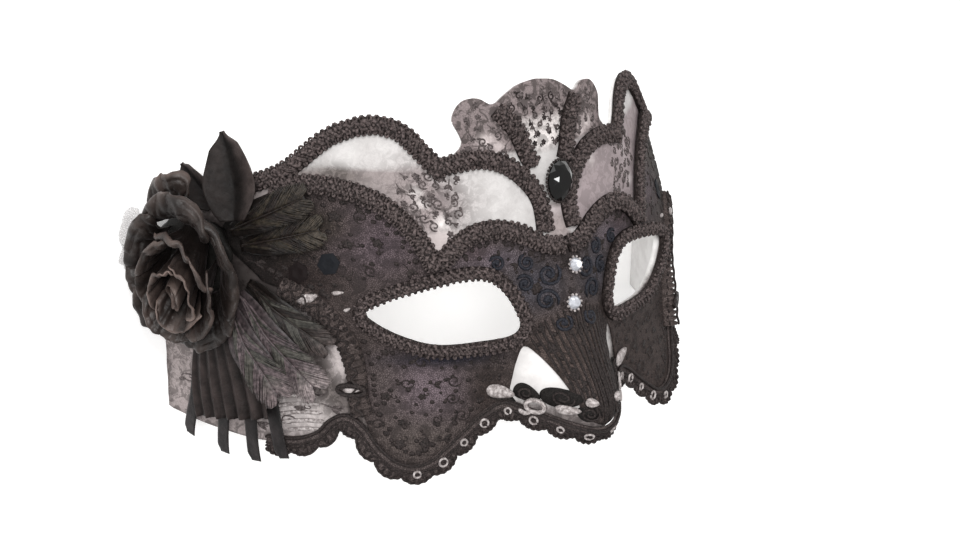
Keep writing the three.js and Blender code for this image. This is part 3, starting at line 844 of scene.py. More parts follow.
def figures(points, seed, size, lift, height=0.32):
    """Filled blossoms and leaves with curled threads, as worked lace has them."""
    rng = random.Random(seed)
    parts = []
    for p in points:
        flow = math.atan2(p[1] + 10, abs(p[0]) - 20) * (1 if p[0] > 0 else -1)
        angle = flow + rng.uniform(-0.9, 0.9)
        kind = rng.random()
        scale = size * rng.uniform(0.75, 1.2)
        ahead = np.array([math.cos(angle), math.sin(angle)])
        if kind < 0.34:
            hand = rng.choice((-1, 1))
            parts.append(ridge(curl(p, angle, scale, 1.2, hand), 0.5, height, lift))
            leaf = leaf_loop(p - ahead * scale, angle + 0.7, scale, scale * 0.5, 10)
            parts.append(boss(leaf, lift, height))
        elif kind < 0.64:
            for way in (angle - 0.6, angle + 0.6):
                centre = p + np.array([math.cos(way), math.sin(way)]) * scale * 0.6
                parts.append(boss(leaf_loop(centre, way, scale * 1.25, scale * 0.6, 10), lift, height))
            stem = p + np.linspace(-1.2, 1, 6)[:, None] * scale * ahead
            parts.append(ridge(stem, 0.4, height * 0.8, lift))
        else:
            parts.append(boss(blossom(p, scale * 0.75, 5, angle), lift, height))
            tendril = curl(p + ahead * scale * 1.1, angle + 2, scale * 0.5, 0.9)
            parts.append(ridge(tendril, 0.4, height * 0.8, lift))
    return joined(parts)


def dots(points, seed, radius):
    rng = random.Random(seed)
    parts = []
    for p in points:
        size = radius * rng.uniform(0.75, 1.25)
        parts.append(boss(blossom(p, size, 4, rng.uniform(0, TAU), 0.12)[::2], LACE_REST, 0.35, 0.6))
    return joined(parts)


points = scattered(lambda p: in_lace(p, 1.9), 7.4, 11)
add("lace_figures", figures(points, 5, 1.9, LACE_REST), CORD)
add("lace_dots", dots(scattered(lambda p: in_lace(p, 2.2), 4.3, 31), 32, 0.62), CORD)
border = resample(lace_outline, 3.1, True)
inward = moved(border, 3.6 if signed_area(border) > 0 else -3.6, True)
add("lace_border_dots", dots(inward[in_lace(inward, 2.6)], 33, 0.75), CORD)

BRIDGE_CURLS = ((6.2, 13.2, 2.4, 3.4, 1), (7.6, 6.0, -2.6, 3.4, -1), (13.2, 11.2, 0.6, 2.6, 1),
                (12.0, 17.0, 1.4, 2.4, -1), (4.2, -1.4, 2.0, 2.4, 1), (20.5, 17.6, 0.4, 2.2, 1))
nose_lines, bridge = [], []
for _, side, flip in SIDES:
    for i in range(9):
        start = np.array([13.8 - 1.7 * i, -2.4 + 0.9 * i])
        end = np.array([6.6 - 0.9 * i, -22.0 - 0.5 * i])
        line = smooth_line([start, (start + end) / 2 + np.array([-0.6, 0.3]), end], 1.2)
        line = line[in_lace(line * flip, 0.6)]
        if len(line) > 4:
            nose_lines.append(ridge(line * flip, 0.85, 0.6, LACE_REST))
    for x, y, angle, size, hand in BRIDGE_CURLS:
        turn = angle if side > 0 else math.pi - angle
        bridge.append(ridge(curl((side * x, y), turn, size, 1.4, hand * side), 1.15, 0.8, LACE_REST))
        bridge.append(boss(blossom((side * x, y), size * 0.34, 5, turn), LACE_REST, 0.7))
add("nose_threads", joined(nose_lines), CORD)
add("bridge_scrolls", joined(bridge), BLUE_CORD)


# Scrolls on the satin panels
def on_satin(points, loop, margin):
    return inside(points, loop) & (edge_distance(points, loop) > margin)


def scroll_region(points):
    x, y = np.abs(points[:, 0]), points[:, 1]
    scroll = (x > 27) & (x < 42) & (y > 26.5) & (y < 43)
    return scroll & ~inside(points, lace_outline) & (edge_distance(points, lace_outline) > 3.0)


def crest_region(points):
    x, y = np.abs(points[:, 0]), points[:, 1]
    lobes = (y > 48.5) & (x < 27) & (np.abs(x - (5.4 + (y - 43.4) * 0.5)) > 3.0)
    return lobes & on_satin(points, outline, 1.8)


def crown_region(points):
    return crest_region(points) & (np.abs(points[:, 0]) < 5 + (points[:, 1] - 48) * 0.4)


def temple_region(points):
    outer = (np.abs(points[:, 0]) > 63) & (points[:, 1] < -20)
    return outer & ~inside(points, lace_outline) & on_satin(points, outline, 2.5)


for name, region, gap, size, seed, material in (
        ("arch_scrolls", scroll_region, 3.1, 1.25, 21, GREY_CORD),
        ("crest_scrolls", crest_region, 3.3, 1.2, 22, GREY_CORD),
        ("crown_scrolls", crown_region, 3.7, 1.1, 25, CORD),
        ("temple_figures", temple_region, 6.4, 1.9, 23, GREY_CORD)):
    add(name, figures(scattered(region, gap, seed), seed, size, SHELL_TOP, 0.3), material)


# Braids
TAPE_SECTION = np.array([[-0.47, -0.25], [0.47, -0.25], [0.42, 0.34], [0.0, 0.48], [-0.42, 0.34]])


def gimp(course, width, seed, pitch):
    """A gimp braid in two parts: its tape, and the crossing cords, knots and picot loops on it."""
    rng = random.Random(seed)
    height = BRAID_HEIGHT
    s = course.steps(0.5)
    turns = max(1, round(course.total / pitch))
    cords = []
    for k in range(2):
        phase = s / course.total * turns * TAU + math.pi * k
        thick = 0.115 * width * (1 + 0.2 * np.sin(s * TAU / 1.2 + 2 * k))
        up = height * (0.62 + 0.18 * np.cos(phase))
        cords.append(course.cord(s, 0.24 * width * np.sin(phase), up, thick))
    centre, _, normal = course.frame((np.arange(2 * turns) + 0.5) * course.total / (2 * turns))
    for c, n in zip(centre, normal):
        cords.append(ball(c + n * height * 0.6, 0.12 * width * rng.uniform(0.8, 1.15), 6))
    for hand in (-1, 1):
        picots = course.loops(hand * width / 2, hand, 0.17 * width, 1.9, 0.4, height * 0.42, seed * 7 + hand)
        cords.append(picots)
    return swept(*course.frame(s), TAPE_SECTION * [width, height], course.closed), joined(cords)


def gathered(course):
    """A gathered lace frill that rises towards its lower end."""
    s = course.steps(0.35)
    u = np.linspace(-1, 1, 11)[None]
    along = s[:, None]
    swell = 0.5 + 0.5 * smooth(0.4, 0.8, along / course.total)
    gather = 0.70 + 0.22 * np.sin(along * TAU / 1.9 + 1.4 * np.sin(2.2 * u + 2))
    gather = gather + 0.08 * np.sin(along * TAU / 0.83 + 5 * u)
    top = CHEEK_TRIM_HEIGHT * swell * gather * (1 - 0.8 * np.abs(u) ** 3)
    reach = CHEEK_TRIM_WIDTH / 2 * (1 + 0.06 * np.sin(along * TAU / 2.4)) * u
    under = np.array([[-0.5, -1.4], [0.5, -1.4]]) * [CHEEK_TRIM_WIDTH, 1]
    section = np.stack([reach, top], -1)[:, ::-1]
    return swept(*course.frame(s), np.concatenate([section, np.broadcast_to(under, (len(s), 2, 2))], 1))


rim, brow, low, inner, crest = (smooth_line(line, TRIM_STEP) for line in (
    ARCH_LINE + TEMPLE_TOP, BROW_LINE, LOW_ARCH_LINE, INNER_ARCH_LINE, CREST_BRAID_LINE))
WIDE, NARROW = (BRAID_WIDTH, 5.0), (NARROW_BRAID, 4.2)
TRIMS = (
    ("rim_braid", rim, RIM_LIFT, 3, WIDE),
    ("brow_braid", clear_of(brow, rim, 1.5), BRAID_LIFT, 4, WIDE),
    ("low_arch_braid", clear_of(clear_of(low, brow, 1.5), inner, 0.8), BRAID_LIFT, 5, WIDE),
    ("inner_arch_braid", clear_of(inner, rim, 1.0), RIM_LIFT, 6, WIDE),
    ("crest_braid", clear_of(crest, inner, 1.2), RIM_LIFT, 7, WIDE),
    ("eye_braid", EYE_BRAID, BRAID_LIFT, 11, NARROW),
)
FRILL_TONE = (0.125, 0.098, 0.092)
for label, _, flip in SIDES:
    for name, line, lift, seed, (width, pitch) in TRIMS:
        node = f"{name}_{label}"
        tape, cords = gimp(Course(line * flip, lift, name == "eye_braid"), width, seed, pitch)
        add(f"gimp_{node}", cords, BRAID, node)
        add(f"tape_{node}", tape, TAPE)
    course = Course(smooth_line(CHEEK_LINE, TRIM_STEP) * flip, BRAID_LIFT)
    node = f"cheek_braid_{label}"
    add(f"gathered_{node}", gathered(course), LACE, node, FRILL_TONE)
    frill = [course.loops(hand * CHEEK_TRIM_WIDTH / 2, hand, 0.9, 2.1, 0.35, 1.0, 5) for hand in (-1, 1)]
    s = course.steps(0.5)
    crown = CHEEK_TRIM_HEIGHT * (0.42 + 0.5 * smooth(0.4, 0.8, s / course.total))
    frill.append(course.cord(s, 0.9 * np.sin(s * TAU / 4.4), crown, 0.42))
    add(f"frill_cords_{label}", joined(frill), CORD)

# The scalloped edging, with picot loops along its edge and rings sewn on it
SCALLOPS = 14
EDGING_INSIDE = 2.6
EDGING_OUTSIDE = 1.4
SCALLOP_DEPTH = 1.6
EDGING_THICKNESS = 0.5
EDGING_TONE = (0.110, 0.088, 0.084)
edge_line = smooth_line(LOWER_LINE[2:], 0.5)


def edging(side, flip):
    """The lace strip, its dark cords and its silver rings, on one half."""
    course = Course(edge_line * flip, EDGING_LIFT, False, 0.4)
    s = course.steps(0.4)
    flat = np.ones_like(s)
    wave = np.abs(np.sin(s / course.total * SCALLOPS * math.pi)) ** 0.7
    reach = EDGING_OUTSIDE + SCALLOP_DEPTH * wave
    frill = 0.30 * np.sin(s * TAU / 1.7)
    across = -side * np.stack([-EDGING_INSIDE * flat, -0.6 * flat, 0.8 * flat, reach], -1)
    up = np.stack([-0.75 * flat, 0.1 + 0.3 * frill, 0.25 + frill, 0.45 + frill + 0.5 * wave], -1)
    upper, lower = (np.stack([across, up + thickness], -1) for thickness in (EDGING_THICKNESS, 0))
    section = np.concatenate([upper, lower[:, ::-1]], 1)
    strip = swept(*course.frame(s), section[:, ::-1] if side < 0 else section)
    cords = [
        course.cord(s, side * (EDGING_INSIDE - 0.3), 0.6, 0.5),
        course.cord(s, side * 0.4, 0.7, 0.34),
        course.cord(s, -side * (reach - 0.1), up[:, 3] + EDGING_THICKNESS, 0.4),
        course.loops(-side * (EDGING_OUTSIDE + 0.6), -side, 0.9, 2.3, 0.32, 1.0, 9 + side),
    ]
    rings = []
    for i in range(6, SCALLOPS):
        size = 1.25 if i % 2 else 1.0
        places = oval(((i + 0.5) / SCALLOPS * course.total, 0.2), size, size, around(12))
        centre, way, normal = course.frame(places[:, 0])
        rings.append(tube(centre - way * side * places[:, 1:] + normal * 1.15, normal, 0.36, 6, True))
    return strip, joined(cords), joined(rings)


strips, cords, rings = zip(*(edging(side, flip) for _, side, flip in SIDES))
add("lace_strip", joined(strips), LACE, "lace_edging", EDGING_TONE)
add("edging_loops", joined(cords), CORD)
add("edging_rings", joined(rings), SILVER_CORD)

# Lobes, leaves, bands, spots and rings on each half, given by x, y, angle, length and width
LOBES = ((15.0, -20.9, 0.45, 6.2, 4.6), (8.0, -20.9, -0.15, 8.6, 5.0), (19.6, -23.2, 0.5, 5.0, 3.0),
         (3.4, -24.0, -0.5, 5.0, 4.0))
SILVER_LEAVES = ((21.6, -20.4, 0.28, 8.4, 4.0), (7.2, -23.6, -0.1, 4.6, 2.2), (2.9, -21.4, 0.3, 2.4, 2.0))
SPOTS = ((66.2, 8.0, 0.5, 5.0, 2.2, 4.6), (60.0, 9.8, 0.2, 2.8, 1.1, 2.6), (58.6, 5.4, 0.6, 1.8, 0.9, 2.7))
LOBE_TONE = (0.022, 0.019, 0.018)
CHEEK_TOP = BRAID_LIFT + CHEEK_TRIM_HEIGHT
lobes, spirals, silver, bands_of_silver, marks, cheek_rings = [], [], [], [], [], []
for _, side, flip in SIDES:
    for x, y, angle, length, width in LOBES:
        lobe = smooth_line(leaf_loop((side * x, y), angle * side, length, width), 0.7, True)
        lobes.append(boss(lobe, SHELL_TOP, 0.9, 0.86))
        spiral = curl((side * x, y), angle * side, width * 0.44, 1.6, side)
        spirals.append(ridge(spiral, 0.8, 0.6, SHELL_TOP + 0.85))
    for x, y, angle, length, width in SILVER_LEAVES:
        leaf = smooth_line(leaf_loop((side * x, y), angle * side, length, width), 0.5, True)
        silver.append(boss(leaf, LACE_TOP + 0.3, 0.7, 0.72))
    silver.append(ridge(oval((side * 13.0, -23.9), 1.9, 1.6, around(18)), 1.5, 0.9, LACE_TOP + 0.9, True))
    tail = smooth_line([(side * 16.6, -25.2), (side * 15.2, -26.2), (side * 13.6, -25.4)], 0.6)
    silver.append(ridge(tail, 1.6, 0.9, LACE_TOP + 0.9))
    for i in range(6):
        start = np.array([77.0 - 0.6 * i, -22.5 - 2.3 * i])
        end = np.array([67.5 - 0.5 * i, -19.5 - 2.5 * i])
        line = smooth_line([start, (start + end) / 2 + np.array([0, 0.6]), end], 0.8)
        bands_of_silver.append(ridge(line * flip, 1.3, 0.5, SHELL_TOP))
    for x, y, angle, length, width, lift in SPOTS:
        marks.append(boss(leaf_loop((side * x, y), -angle * side, length, width), lift, 0.5, 0.6))
    cheek_ring = oval((side * 58.4, -17.8), 2.9, 1.7, around(18))
    cheek_rings.append(ridge(cheek_ring, 1.5, 0.9, CHEEK_TOP - 0.7, True))
    marks.append(boss(leaf_loop((side * 58.4, -17.8), 0.1, 3.6, 1.5), CHEEK_TOP - 0.6, 0.5))
add("dark_lobes", joined(lobes), LACE, tint=LOBE_TONE)
add("lobe_spirals", joined(spirals), CORD)
add("silver_scrolls", joined(silver), SILVER_CORD)
add("temple_bands", joined(bands_of_silver), SILVER_CORD)
add("silver_spots", joined(marks), SILVER_CORD)
add("cheek_rings", joined(cheek_rings), CORD)


# Stones and sequins
def seat(x, y, lift):
    """A function that puts points, given east, north and outward, at a place on the face."""
    x, y = np.array(float(x)), np.array(float(y))
    normal = face_normal(x, y)
    east = unit(np.cross(UP, normal))
    axes = np.stack([east, np.cross(normal, east), normal])
    return lambda points: on_face(x, y, lift) + points @ axes


def ringed(profile, corners, half_width, half_height, depth, stagger=0.0, turn=0.0):
    """Rings of a stone from (radius, height) pairs; every second ring may be staggered."""
    rings = []
    for k, (r, z) in enumerate(profile):
        a = (np.arange(corners) + stagger * (k % 2)) * TAU / corners + turn
        level = np.full((corners, 1), z * depth)
        rings.append(np.hstack([oval((0, 0), r * half_width, r * half_height, a), level]))
    return np.vstack(rings)


def cut_stone(name, node, place, size, corners, finish, setting, tilt=0.0):
    """A faceted stone with a girdle, crown facets and a flat table, in a beaded setting."""
    profile = ((1.0, 0.0), (1.0, 0.28), (0.80, 0.66), (0.52, 1.0))
    body = lids(4, corners)
    for n, (a, b, c, d) in enumerate(bands(4, corners)):
        odd = n // corners % 2
        body += [(a, b, c), (a, c, d)] if odd else [(a, b, d), (b, c, d)]
    c, s = math.cos(tilt), math.sin(tilt)
    tilted = np.array([[c, s, 0], [-s, c, 0], [0, 0, 1]])
    put = seat(*place)
    add(name, (put(ringed(profile, corners, *size, 0.5) @ tilted), body), finish, node, facets=True)
    count = max(10, int(TAU * max(size[:2]) / 1.1))
    girdle = oval((0, 0), size[0] + 0.3, size[1] + 0.3, around(count))
    beads = put(np.hstack([girdle, np.full((count, 1), 0.35)]) @ tilted)
    add(f"{name}_setting", joined([ball(bead, 0.45) for bead in beads]), setting)


JET_AT = (0.8, 38, RIM_LIFT + BRAID_HEIGHT + 0.3)
JET_SIZE = (4.4, 6.0, 3.0)
JET_TILT = -0.3
CRYSTAL_SIZE = (2.1, 2.1, 1.9)
cut_stone("jet_oval", "jet_stone", JET_AT, JET_SIZE, 12, JET, CORD, JET_TILT)
for name, node, place in (("upper_crystal", "upper_rhinestone", (1.4, 14.4, 3.1)),
                          ("lower_crystal", "lower_rhinestone", (-0.6, 4.2, 3.1))):
    cut_stone(name, node, place, CRYSTAL_SIZE, 10, CRYSTAL, SILVER_CORD)

SEQUIN_PROFILE = ((1.0, 0.0), (1.0, 0.35), (0.55, 0.55), (0.16, 0.35))
for name, x, y, radius, finish, turn in (
        ("slate_sequin", -60.6, 17.6, 3.4, SEQUIN_BLUE, 0.2),
        ("oxblood_sequin", -67.4, 14.4, 3.2, SEQUIN_RED, 0.6),
        ("slate_sequin_plain_side", 60.6, 17.6, 3.4, SEQUIN_BLUE, 0.2)):
    points = seat(x, y, LACE_FACE + 0.1)(ringed(SEQUIN_PROFILE, 6, radius, radius, 1.0, 0.0, turn))
    add(name, (points, bands(4, 6) + lids(4, 6)), finish, facets=True)

# The rose
ROSE_SEAT = np.array([-83.0, 17.0])
ROSE_STAND = 10.0
ROSE_NARROW = 0.8
ROSE_FOOT = 1.2
ROSE_AXIS = unit(np.array([-0.86, -0.1, 0.5]))
PETAL_TIP = 1.2
rose_up = unit(UP - ROSE_AXIS * ROSE_AXIS[1])
rose_side = unit(np.cross(rose_up, ROSE_AXIS))
rose_at = on_face(*ROSE_SEAT, ROSE_STAND)


def in_rose(x, y, z):
    local = np.stack([x * ROSE_NARROW + 0.1 * z, y - 0.5 * z, z], -1)
    return rose_at + local[..., :1] * rose_side + local[..., 1:2] * rose_up + local[..., 2:] * ROSE_AXIS


def petal_surface(bearing, arc, inner, outer, height, curl_by, seed, roll, foot=ROSE_FOOT):
    """A petal of the rose: broad waves, finer creases, crumpled folds and a rolled rim."""
    rng = random.Random(seed)
    waves = [(rng.uniform(2.0, 3.4), 0.0, 0.8), (rng.uniform(5, 7), rng.uniform(-2, 2), 0.5)]
    waves = [(f, rng.uniform(0, TAU), g, a) for f, g, a in waves]
    creases = [(rng.uniform(low, high), rng.uniform(0, TAU), rng.uniform(-slant, slant), depth)
               for low, high, slant, depth in ((9, 14, 3, 0.34), (16, 22, 5, 0.20), (26, 34, 7, 0.09))]
    crumple, way = rng.uniform(0, TAU), rng.choice((-1, 1))

    def across(s):
        return inner + (outer - inner) * np.maximum(s, 0) ** 1.2

    def up(s):
        return height * np.sin(s * curl_by) / math.sin(min(curl_by, math.pi / 2))

    def surface(u, t):
        s = t * (1 - 0.26 * np.abs(u) ** 3)
        angle = bearing + u * arc * (0.62 + 0.38 * np.minimum(s * 2, 1))
        outward = across(s + 0.01) - across(s)
        upward = up(s + 0.01) - up(s)
        length = np.hypot(outward, upward)
        edge = smooth(0.76, 1.0, t)
        side_edge = smooth(0.8, 1.0, np.abs(u)) * smooth(0.25, 0.7, t)
        uneven = 0.72 + 0.38 * np.sin(5.3 * u + crumple)
        lift = roll * uneven * edge**2 + 0.5 * roll * side_edge**2
        fold = np.sin(6.1 * u + way * 5.2 * t + crumple + 1.9 * np.sin(3.7 * u - way * 6.3 * t))
        lift = lift + 0.024 * outer * (1 - np.abs(fold)) ** 2 * smooth(0.15, 0.6, t)
        for terms, grown in ((waves, t**2), (creases, smooth(0.1, 0.5, t))):
            for f, p, g, a in terms:
                lift = lift + a * np.sin(f * u + p + g * t) * grown
        tip = PETAL_TIP * u
        spread = np.minimum(2 * s, 1)
        offset = tip * spread + lift
        rolled = s - 0.9 * roll * edge**3 / np.maximum(length, 1e-6) * 0.01
        radius = across(rolled) + (tip * (1 - spread) + offset) * upward / length
        rise = up(rolled) - offset * outward / length
        tall = 1.02 + 0.14 * np.sin(angle) * s
        return in_rose(radius * np.cos(angle), radius * tall * np.sin(angle), foot + rise)

    return surface


def petal_shade_and_highlight(seed, highlight_gain):
    rng = random.Random(seed)
    f, p = rng.uniform(6, 11), rng.uniform(0, TAU)

    def tone(u, t):
        # painted shade and highlight: dark towards the petal's foot, lighter in streaks further out and
        # lightest on the rolled rim
        streak = 0.5 + 0.5 * np.sin(f * u + p + 2.5 * t)
        weight = 0.50 * smooth(0.35, 1.0, t) * (0.3 + 0.7 * streak) + 0.60 * smooth(0.84, 1.0, t)
        return blend(weight, (0.0075, 0.0050, 0.0042), np.array([0.098, 0.071, 0.062]) * highlight_gain)

    return tone


def toned_sheet(name, node, surface, thickness, across, along, tone, finish):
    """A satin sheet whose tint, on both faces, is a function of u and t."""
    u, t = np.meshgrid(np.linspace(-1, 1, across + 1), np.linspace(0, 1, along + 1))
    one = tone(u.ravel(), t.ravel())
    add(name, sheet(surface, thickness, across, along), finish, node, np.vstack([one, one]))


# the last column scales the painted highlight on each ring's petals
RINGS = (
    ("inner", 3, 1.25, 5.8, 9.4, 17, 1.3, 0.4, 0.7, 1.7),
    ("middle", 4, 0.96, 9.2, 17, 14.5, 1.6, 1.1, 1.4, 1.2),
    ("outer", 5, 0.78, 12.9, 26, 9.5, 1.9, 1.57, 2.0, 0.7),
)
for name, count, arc, inner, outer, height, curl_by, turn, roll, highlight_gain in RINGS:
    for i in range(count):
        seed = 40 + 7 * i + len(name)
        surface = petal_surface(turn + TAU * i / count, arc, inner, outer, height, curl_by, seed, roll)
        node = f"rose_{name}_petal_{i + 1}"
        toned_sheet(f"satin_{node}", node, surface, 0.6, 52, 30, petal_shade_and_highlight(seed, highlight_gain), PETAL_SATIN)
surface = petal_surface(2.1, 0.6, 13.6, 25, 2.4, 1.5, 77, 1.2, -0.9)
back_petal_shading = petal_shade_and_highlight(8, 0.9)
toned_sheet("satin_rose_back_petal", "rose_back_petal", surface, 0.6, 40, 28, back_petal_shading, PETAL_SATIN)


def heart_surface(u, t):
    angle = u * 5.4
    radius = 2.55 - u * 1.35 + 0.5 * t
    rise = 16 * t * (0.86 + 0.12 * np.cos(u * 6)) + 0.3 * np.sin(u * 17) * t
    return in_rose(radius * np.cos(angle), radius * np.sin(angle), ROSE_FOOT + rise)


toned_sheet("rolled_heart", "rose_heart", heart_surface, 0.5, 90, 12, petal_shade_and_highlight(4, 1.0), PETAL_SATIN)

CALYX_PROFILE = np.array([[5.6, -9.6], [6.3, -6.5], [6.9, -4], [9.6, -2.4], [12.2, -0.9], [12.5, 0.2],
                          [12.0, 0.9], [6, 1.0]])
CALYX_CORNERS = 40
CALYX_TONE = (0.010, 0.009, 0.008)
a = np.arange(CALYX_CORNERS) * TAU / CALYX_CORNERS
radius = CALYX_PROFILE[:, :1] * (1 + 0.03 * np.sin(a * 10))
points = rose_at + (radius * np.cos(a))[..., None] * rose_side + (radius * np.sin(a))[..., None] * rose_up
points = points + CALYX_PROFILE[:, 1:, None] * ROSE_AXIS
calyx = points.reshape(-1, 3), bands(len(points), CALYX_CORNERS) + lids(len(points), CALYX_CORNERS)
add("felt_calyx", calyx, RIBBON_SATIN, "rose_calyx", CALYX_TONE)

# pale grey see-through sheets shaped as petals round the left side of the rose
for i, (bearing, reach) in enumerate(((2.95, 30.5), (3.4, 32.0), (3.85, 31.5))):
    surface = petal_surface(bearing, 0.42, 13.5, reach, 3.5, 1.5, 90 + i, 1.0)
    add(f"sheer_petal_{i + 1}", sheet(surface, 0.25, 30, 20), PALE_SHEER)


# Leaves, fan, ribbon tails and feathers
def frond(root, tip, half, root_lift, tip_lift, shape, bend=0.0):
    """A surface from root to tip over the face, with its width and rise from shape."""
    root, tip = np.array(root, float), np.array(tip, float)

    def base(t):
        return root[0] + (tip[0] - root[0]) * t + bend * np.sin(np.pi * t), root[1] + (tip[1] - root[1]) * t

    def centre(t):
        return on_face(*base(t), root_lift + (tip_lift - root_lift) * smooth(0, 0.4, t))

    def surface(u, t):
        along = unit(centre(t + 0.02) - centre(t - 0.02))
        normal = face_normal(*base(t))
        side = unit(np.cross(along, normal))
        width, rise = shape(u, t)
        rise = np.broadcast_to(rise, u.shape)
        return centre(t) + side * (u * half * width)[..., None] + normal * rise[..., None]

    return surface


def leaf_shape(u, t):
    width = 0.25 + 0.75 * np.sin(np.pi * (0.1 + 0.88 * np.maximum(t, 0) ** 0.9))
    width = width * (1 - smooth(0.82, 1.0, t) * 0.75)
    veins = 0.22 * np.sin(t * 34 - np.abs(u) * 9) * np.abs(u) * (1 - np.abs(u))
    ripple = 0.5 * np.sin(t * 9 + u * 2) * np.abs(u) ** 3
    crease = 4.2 * (np.sqrt(u * u + 0.012) - 0.11) * width
    return width, crease + veins + ripple


def leaf_shade_and_highlight(u, t):
    # painted shade in the centre crease and painted highlight on the right half, lighter towards the tip
    weight = smooth(0.12, 0.7, np.abs(u - 0.1)) * (0.25 + 0.75 * smooth(-0.6, 0.8, u)) * (0.4 + 0.6 * t)
    return blend(weight, (0.0060, 0.0043, 0.0038), (0.062, 0.047, 0.044))


def fan_shape(u, t):
    width = 0.3 + 0.7 * np.sin(np.pi * 0.55 * t)
    pleats = 0.9 * t * (2 / np.pi) * np.arcsin(0.98 * np.cos(u * np.pi * 6))
    hem = 0.25 * np.sin(u * 40) * t**6
    return width, pleats - 1.6 * u * u + hem


def fan_pleat_shading(u, t):
    # painted shade in the pleat valleys and painted highlight on the pleat tops, growing away from the root
    lit_pleat_top = 0.5 + 0.5 * np.cos(u * np.pi * 6)
    weight = 0.25 + 0.75 * lit_pleat_top * smooth(0.15, 0.6, t)
    return blend(weight, (0.0050, 0.0037, 0.0034), (0.034, 0.0255, 0.024))


def ribbon_shape(u, t):
    return 1 - 0.5 * smooth(0.93, 1.0, t) * (u > 0), 0.6 * np.sin(t * 9) * t + 0.25 * u * np.sin(t * 6)


def ribbon_wave_shading(u, t):
    # painted shade and highlight that follow the ribbon's waves: lighter on their crests, darker in their
    # troughs
    return blend(0.5 + 0.5 * np.sin(t * 9 + u), (0.005, 0.0042, 0.0042), (0.020, 0.0165, 0.0170))


LEAVES = (("large_leaf", (-74.9, 27), (-73.2, 51), 8.0, 11, 9, 0.6),
          ("small_leaf", (-79, 30), (-82.5, 40.5), 4.6, 6, 6, 0.0))
for node, root, tip, half, root_lift, tip_lift, bend in LEAVES:
    surface = frond(root, tip, half, root_lift, tip_lift, leaf_shape, bend)
    toned_sheet(f"satin_{node}", node, surface, 0.6, 44, 48, leaf_shade_and_highlight, LEAF_SATIN)
surface = frond((-83.4, 5), (-81.5, -31), 13, 5, 7.8, fan_shape)
toned_sheet("pleated_satin_fan", "pleated_fan", surface, 0.5, 144, 30, fan_pleat_shading, FAN_SATIN)
for i, (x, y) in enumerate(((-88.5, -41), (-83.5, -43.5), (-78.5, -43.5), (-73.5, -41))):
    surface = frond((x * 0.6 - 32.5, -6), (x, y), 2.2, LACE_TOP + 0.6, 5.6, ribbon_shape)
    node = f"ribbon_tail_{i + 1}"
    toned_sheet(f"satin_{node}", node, surface, 0.4, 8, 60, ribbon_wave_shading, RIBBON_SATIN)

BARBS = 104
BARB_FATNESS = np.array([0.24, 0.27, 0.27, 0.25, 0.22, 0.17, 0.05])
BARB_SECTION = np.array([[1, 0], [0, 0.5], [-1, 0], [0, -0.5]])


def vane_width(t):
    return 0.24 + 0.76 * np.sin(np.pi * (0.06 + 0.84 * t))


def feather(surface, seed, hues, pale):
    """A shaft, a dark vane behind it and many fine barbs on each side, with their tint."""
    rng = random.Random(seed)
    t = np.linspace(0, 1, 30)
    zero = np.zeros_like(t)
    middle = surface(zero, t)
    normals = unit(np.cross(np.gradient(middle, axis=0), surface(zero + 0.1, t) - middle)) * -1
    shaft = tube(middle + normals * 0.15, normals, 0.45 * (1 - 0.75 * t))
    vane = sheet(lambda u, v: surface(u * 0.86 * vane_width(v), v), 0.2, 10, 30)
    parts = [shaft, vane]
    tones = [np.full((len(part[0]), 3), hues[0]) * dim for part, dim in ((shaft, 1.0), (vane, 0.5))]
    steps = np.linspace(0, 1, len(BARB_FATNESS))
    for hand in (-1, 1):
        for i in range(BARBS):
            start = 0.01 + 0.95 * (i + rng.uniform(-0.3, 0.3)) / BARBS
            width = float(vane_width(np.array(start))) * rng.uniform(0.85, 1.05)
            sweep = rng.uniform(0.30, 0.36) * (1.1 - 0.5 * start)
            v = np.clip(start + sweep * steps**1.1, 0, 1.06)
            normal = np.repeat(normals[min(29, int(start * 29))][None], len(steps), 0)
            height = 0.30 * np.sin(steps * math.pi * 0.9) + rng.uniform(-0.1, 0.32) * steps
            barb = surface(hand * width * steps**0.9, v) + normal * height[:, None]
            side = unit(np.cross(np.gradient(barb, axis=0), normal))
            fat = BARB_FATNESS * rng.uniform(0.8, 1.15)
            parts.append(swept(barb, side, normal, BARB_SECTION * fat[:, None, None]))
            hue = np.array(hues[1] if math.sin(start * 19 + seed) > 0 else hues[0]) * rng.uniform(0.55, 1.35)
            # barbs grow paler towards their tips, in part the feathers' own pale ends and in part a painted
            # pinkish sheen highlight
            sheen_tip_weight = np.repeat(smooth(0.70, 1.02, v), len(BARB_SECTION))
            tones.append(blend(sheen_tip_weight, hue, np.array(pale) * rng.uniform(0.7, 1.1)))
    return joined(parts), np.vstack(tones)


PURPLE_BROWN = (0.098, 0.074, 0.078)
GREEN_GREY = (0.066, 0.062, 0.053)
OLIVE = (0.030, 0.023, 0.016)
DARK_BROWN = (0.018, 0.0125, 0.0105)
PALE_SHEEN_TIP = (0.330, 0.275, 0.275)
FEATHERS = (
    ((-77.5, 10), (-62.5, -3), 5, 3.9, 9.4, (DARK_BROWN, GREEN_GREY), (0.080, 0.062, 0.058)),
    ((-78.5, 7.5), (-64.5, -16), 6.5, 7.8, 11.6, (PURPLE_BROWN, GREEN_GREY), PALE_SHEEN_TIP),
    ((-80, 5), (-71, -18.5), 6.5, 9.8, 13.8, (PURPLE_BROWN, GREEN_GREY), (0.200, 0.158, 0.160)),
    ((-77, 20), (-60, 27), 5.5, 3.9, 6.6, (DARK_BROWN, OLIVE), (0.066, 0.053, 0.040)),
    ((-77.6, 24), (-61, 35.5), 5.5, 5.6, 8.6, (DARK_BROWN, OLIVE), (0.046, 0.037, 0.029)),
)
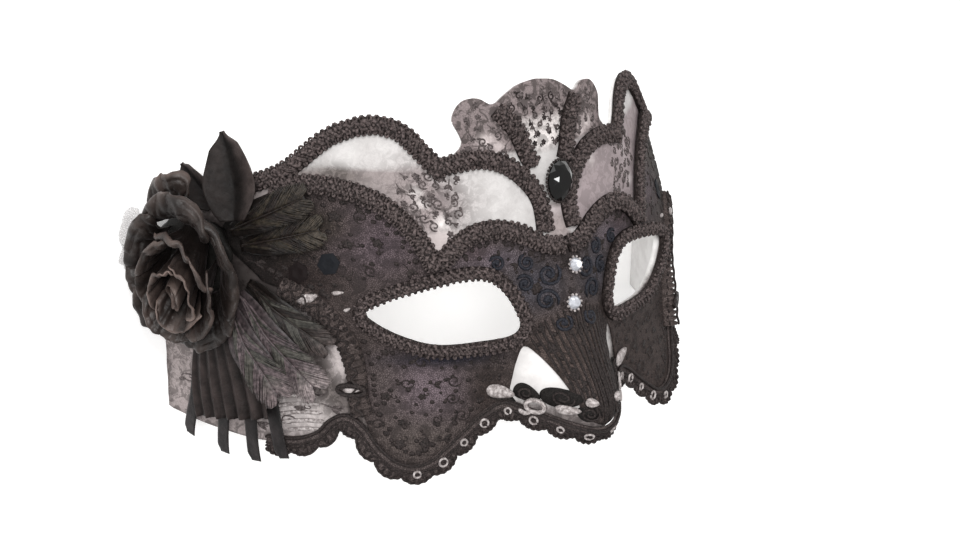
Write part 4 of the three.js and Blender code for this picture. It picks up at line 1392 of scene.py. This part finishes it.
for i, (root, tip, half, root_lift, tip_lift, hues, pale) in enumerate(FEATHERS):
    surface = frond(root, tip, half, root_lift, tip_lift, lambda u, t: (np.ones_like(t), 0.2 * u * u))
    shape, tones = feather(surface, 60 + i, hues, pale)
    add(f"barbed_feather_{i + 1}", shape, FEATHER, f"feather_{i + 1}", tones)

# Floor, lights and camera
floor_mesh = bpy.data.meshes.new("floor")
floor_mesh.from_pydata([(-4, -4, 0), (4, -4, 0), (4, 4, 0), (-4, 4, 0)], [], [(0, 1, 2, 3)])
floor = linked("floor", floor_mesh)
pale = Shader("pale_floor")
pale.set(Base_Color=pale.mix(pale.noise(40, 2), colour(0.96, 0.96, 0.96), colour(0.98, 0.98, 0.98)),
         Roughness=0.8, Emission_Color=colour(1.0, 0.99, 0.98), Emission_Strength=0.26)
floor_mesh.materials.append(pale.material)

world = bpy.data.worlds.new("studio")
world.use_nodes = True
background = world.node_tree.nodes["Background"]
background.inputs["Color"].default_value = colour(1.0, 0.985, 0.97)
background.inputs["Strength"].default_value = 0.42
bpy.context.scene.world = world
bpy.context.scene.view_settings.view_transform = "Standard"

LIT_POINT = Vector((0, 0, 0.04))
for name, place, size, power in (
        ("key", (-0.7, 1.5, 1.7), 0.6, 20.0),
        ("front", (-1.35, 0.93, 1.9), 0.8, 38.0),
        ("side", (1.8, 0.4, 1.2), 1.0, 6.0)):
    light = bpy.data.lights.new(name, "AREA")
    light.size = size
    light.energy = power
    lamp = linked(name, light)
    lamp.location = place
    lamp.rotation_mode = "QUATERNION"
    lamp.rotation_quaternion = (LIT_POINT - Vector(place)).to_track_quat("-Z", "Y")

CAMERA_AT = np.array([-273.364, 185.828, 337.981])
CAMERA_AXES = ((0.81651, 0.01742, 0.57706), (0.20051, 0.92877, -0.31174), (-0.54139, 0.37024, 0.75486))
camera = linked("camera", bpy.data.cameras.new("camera"))
camera.data.lens = 59.34
camera.data.sensor_width = 36.0
axes = Matrix(CAMERA_AXES).transposed().to_4x4()
camera.matrix_world = Matrix.Translation(Vector(((CAMERA_AT + SHIFT) / 1000.0).tolist())) @ axes
bpy.context.scene.camera = camera
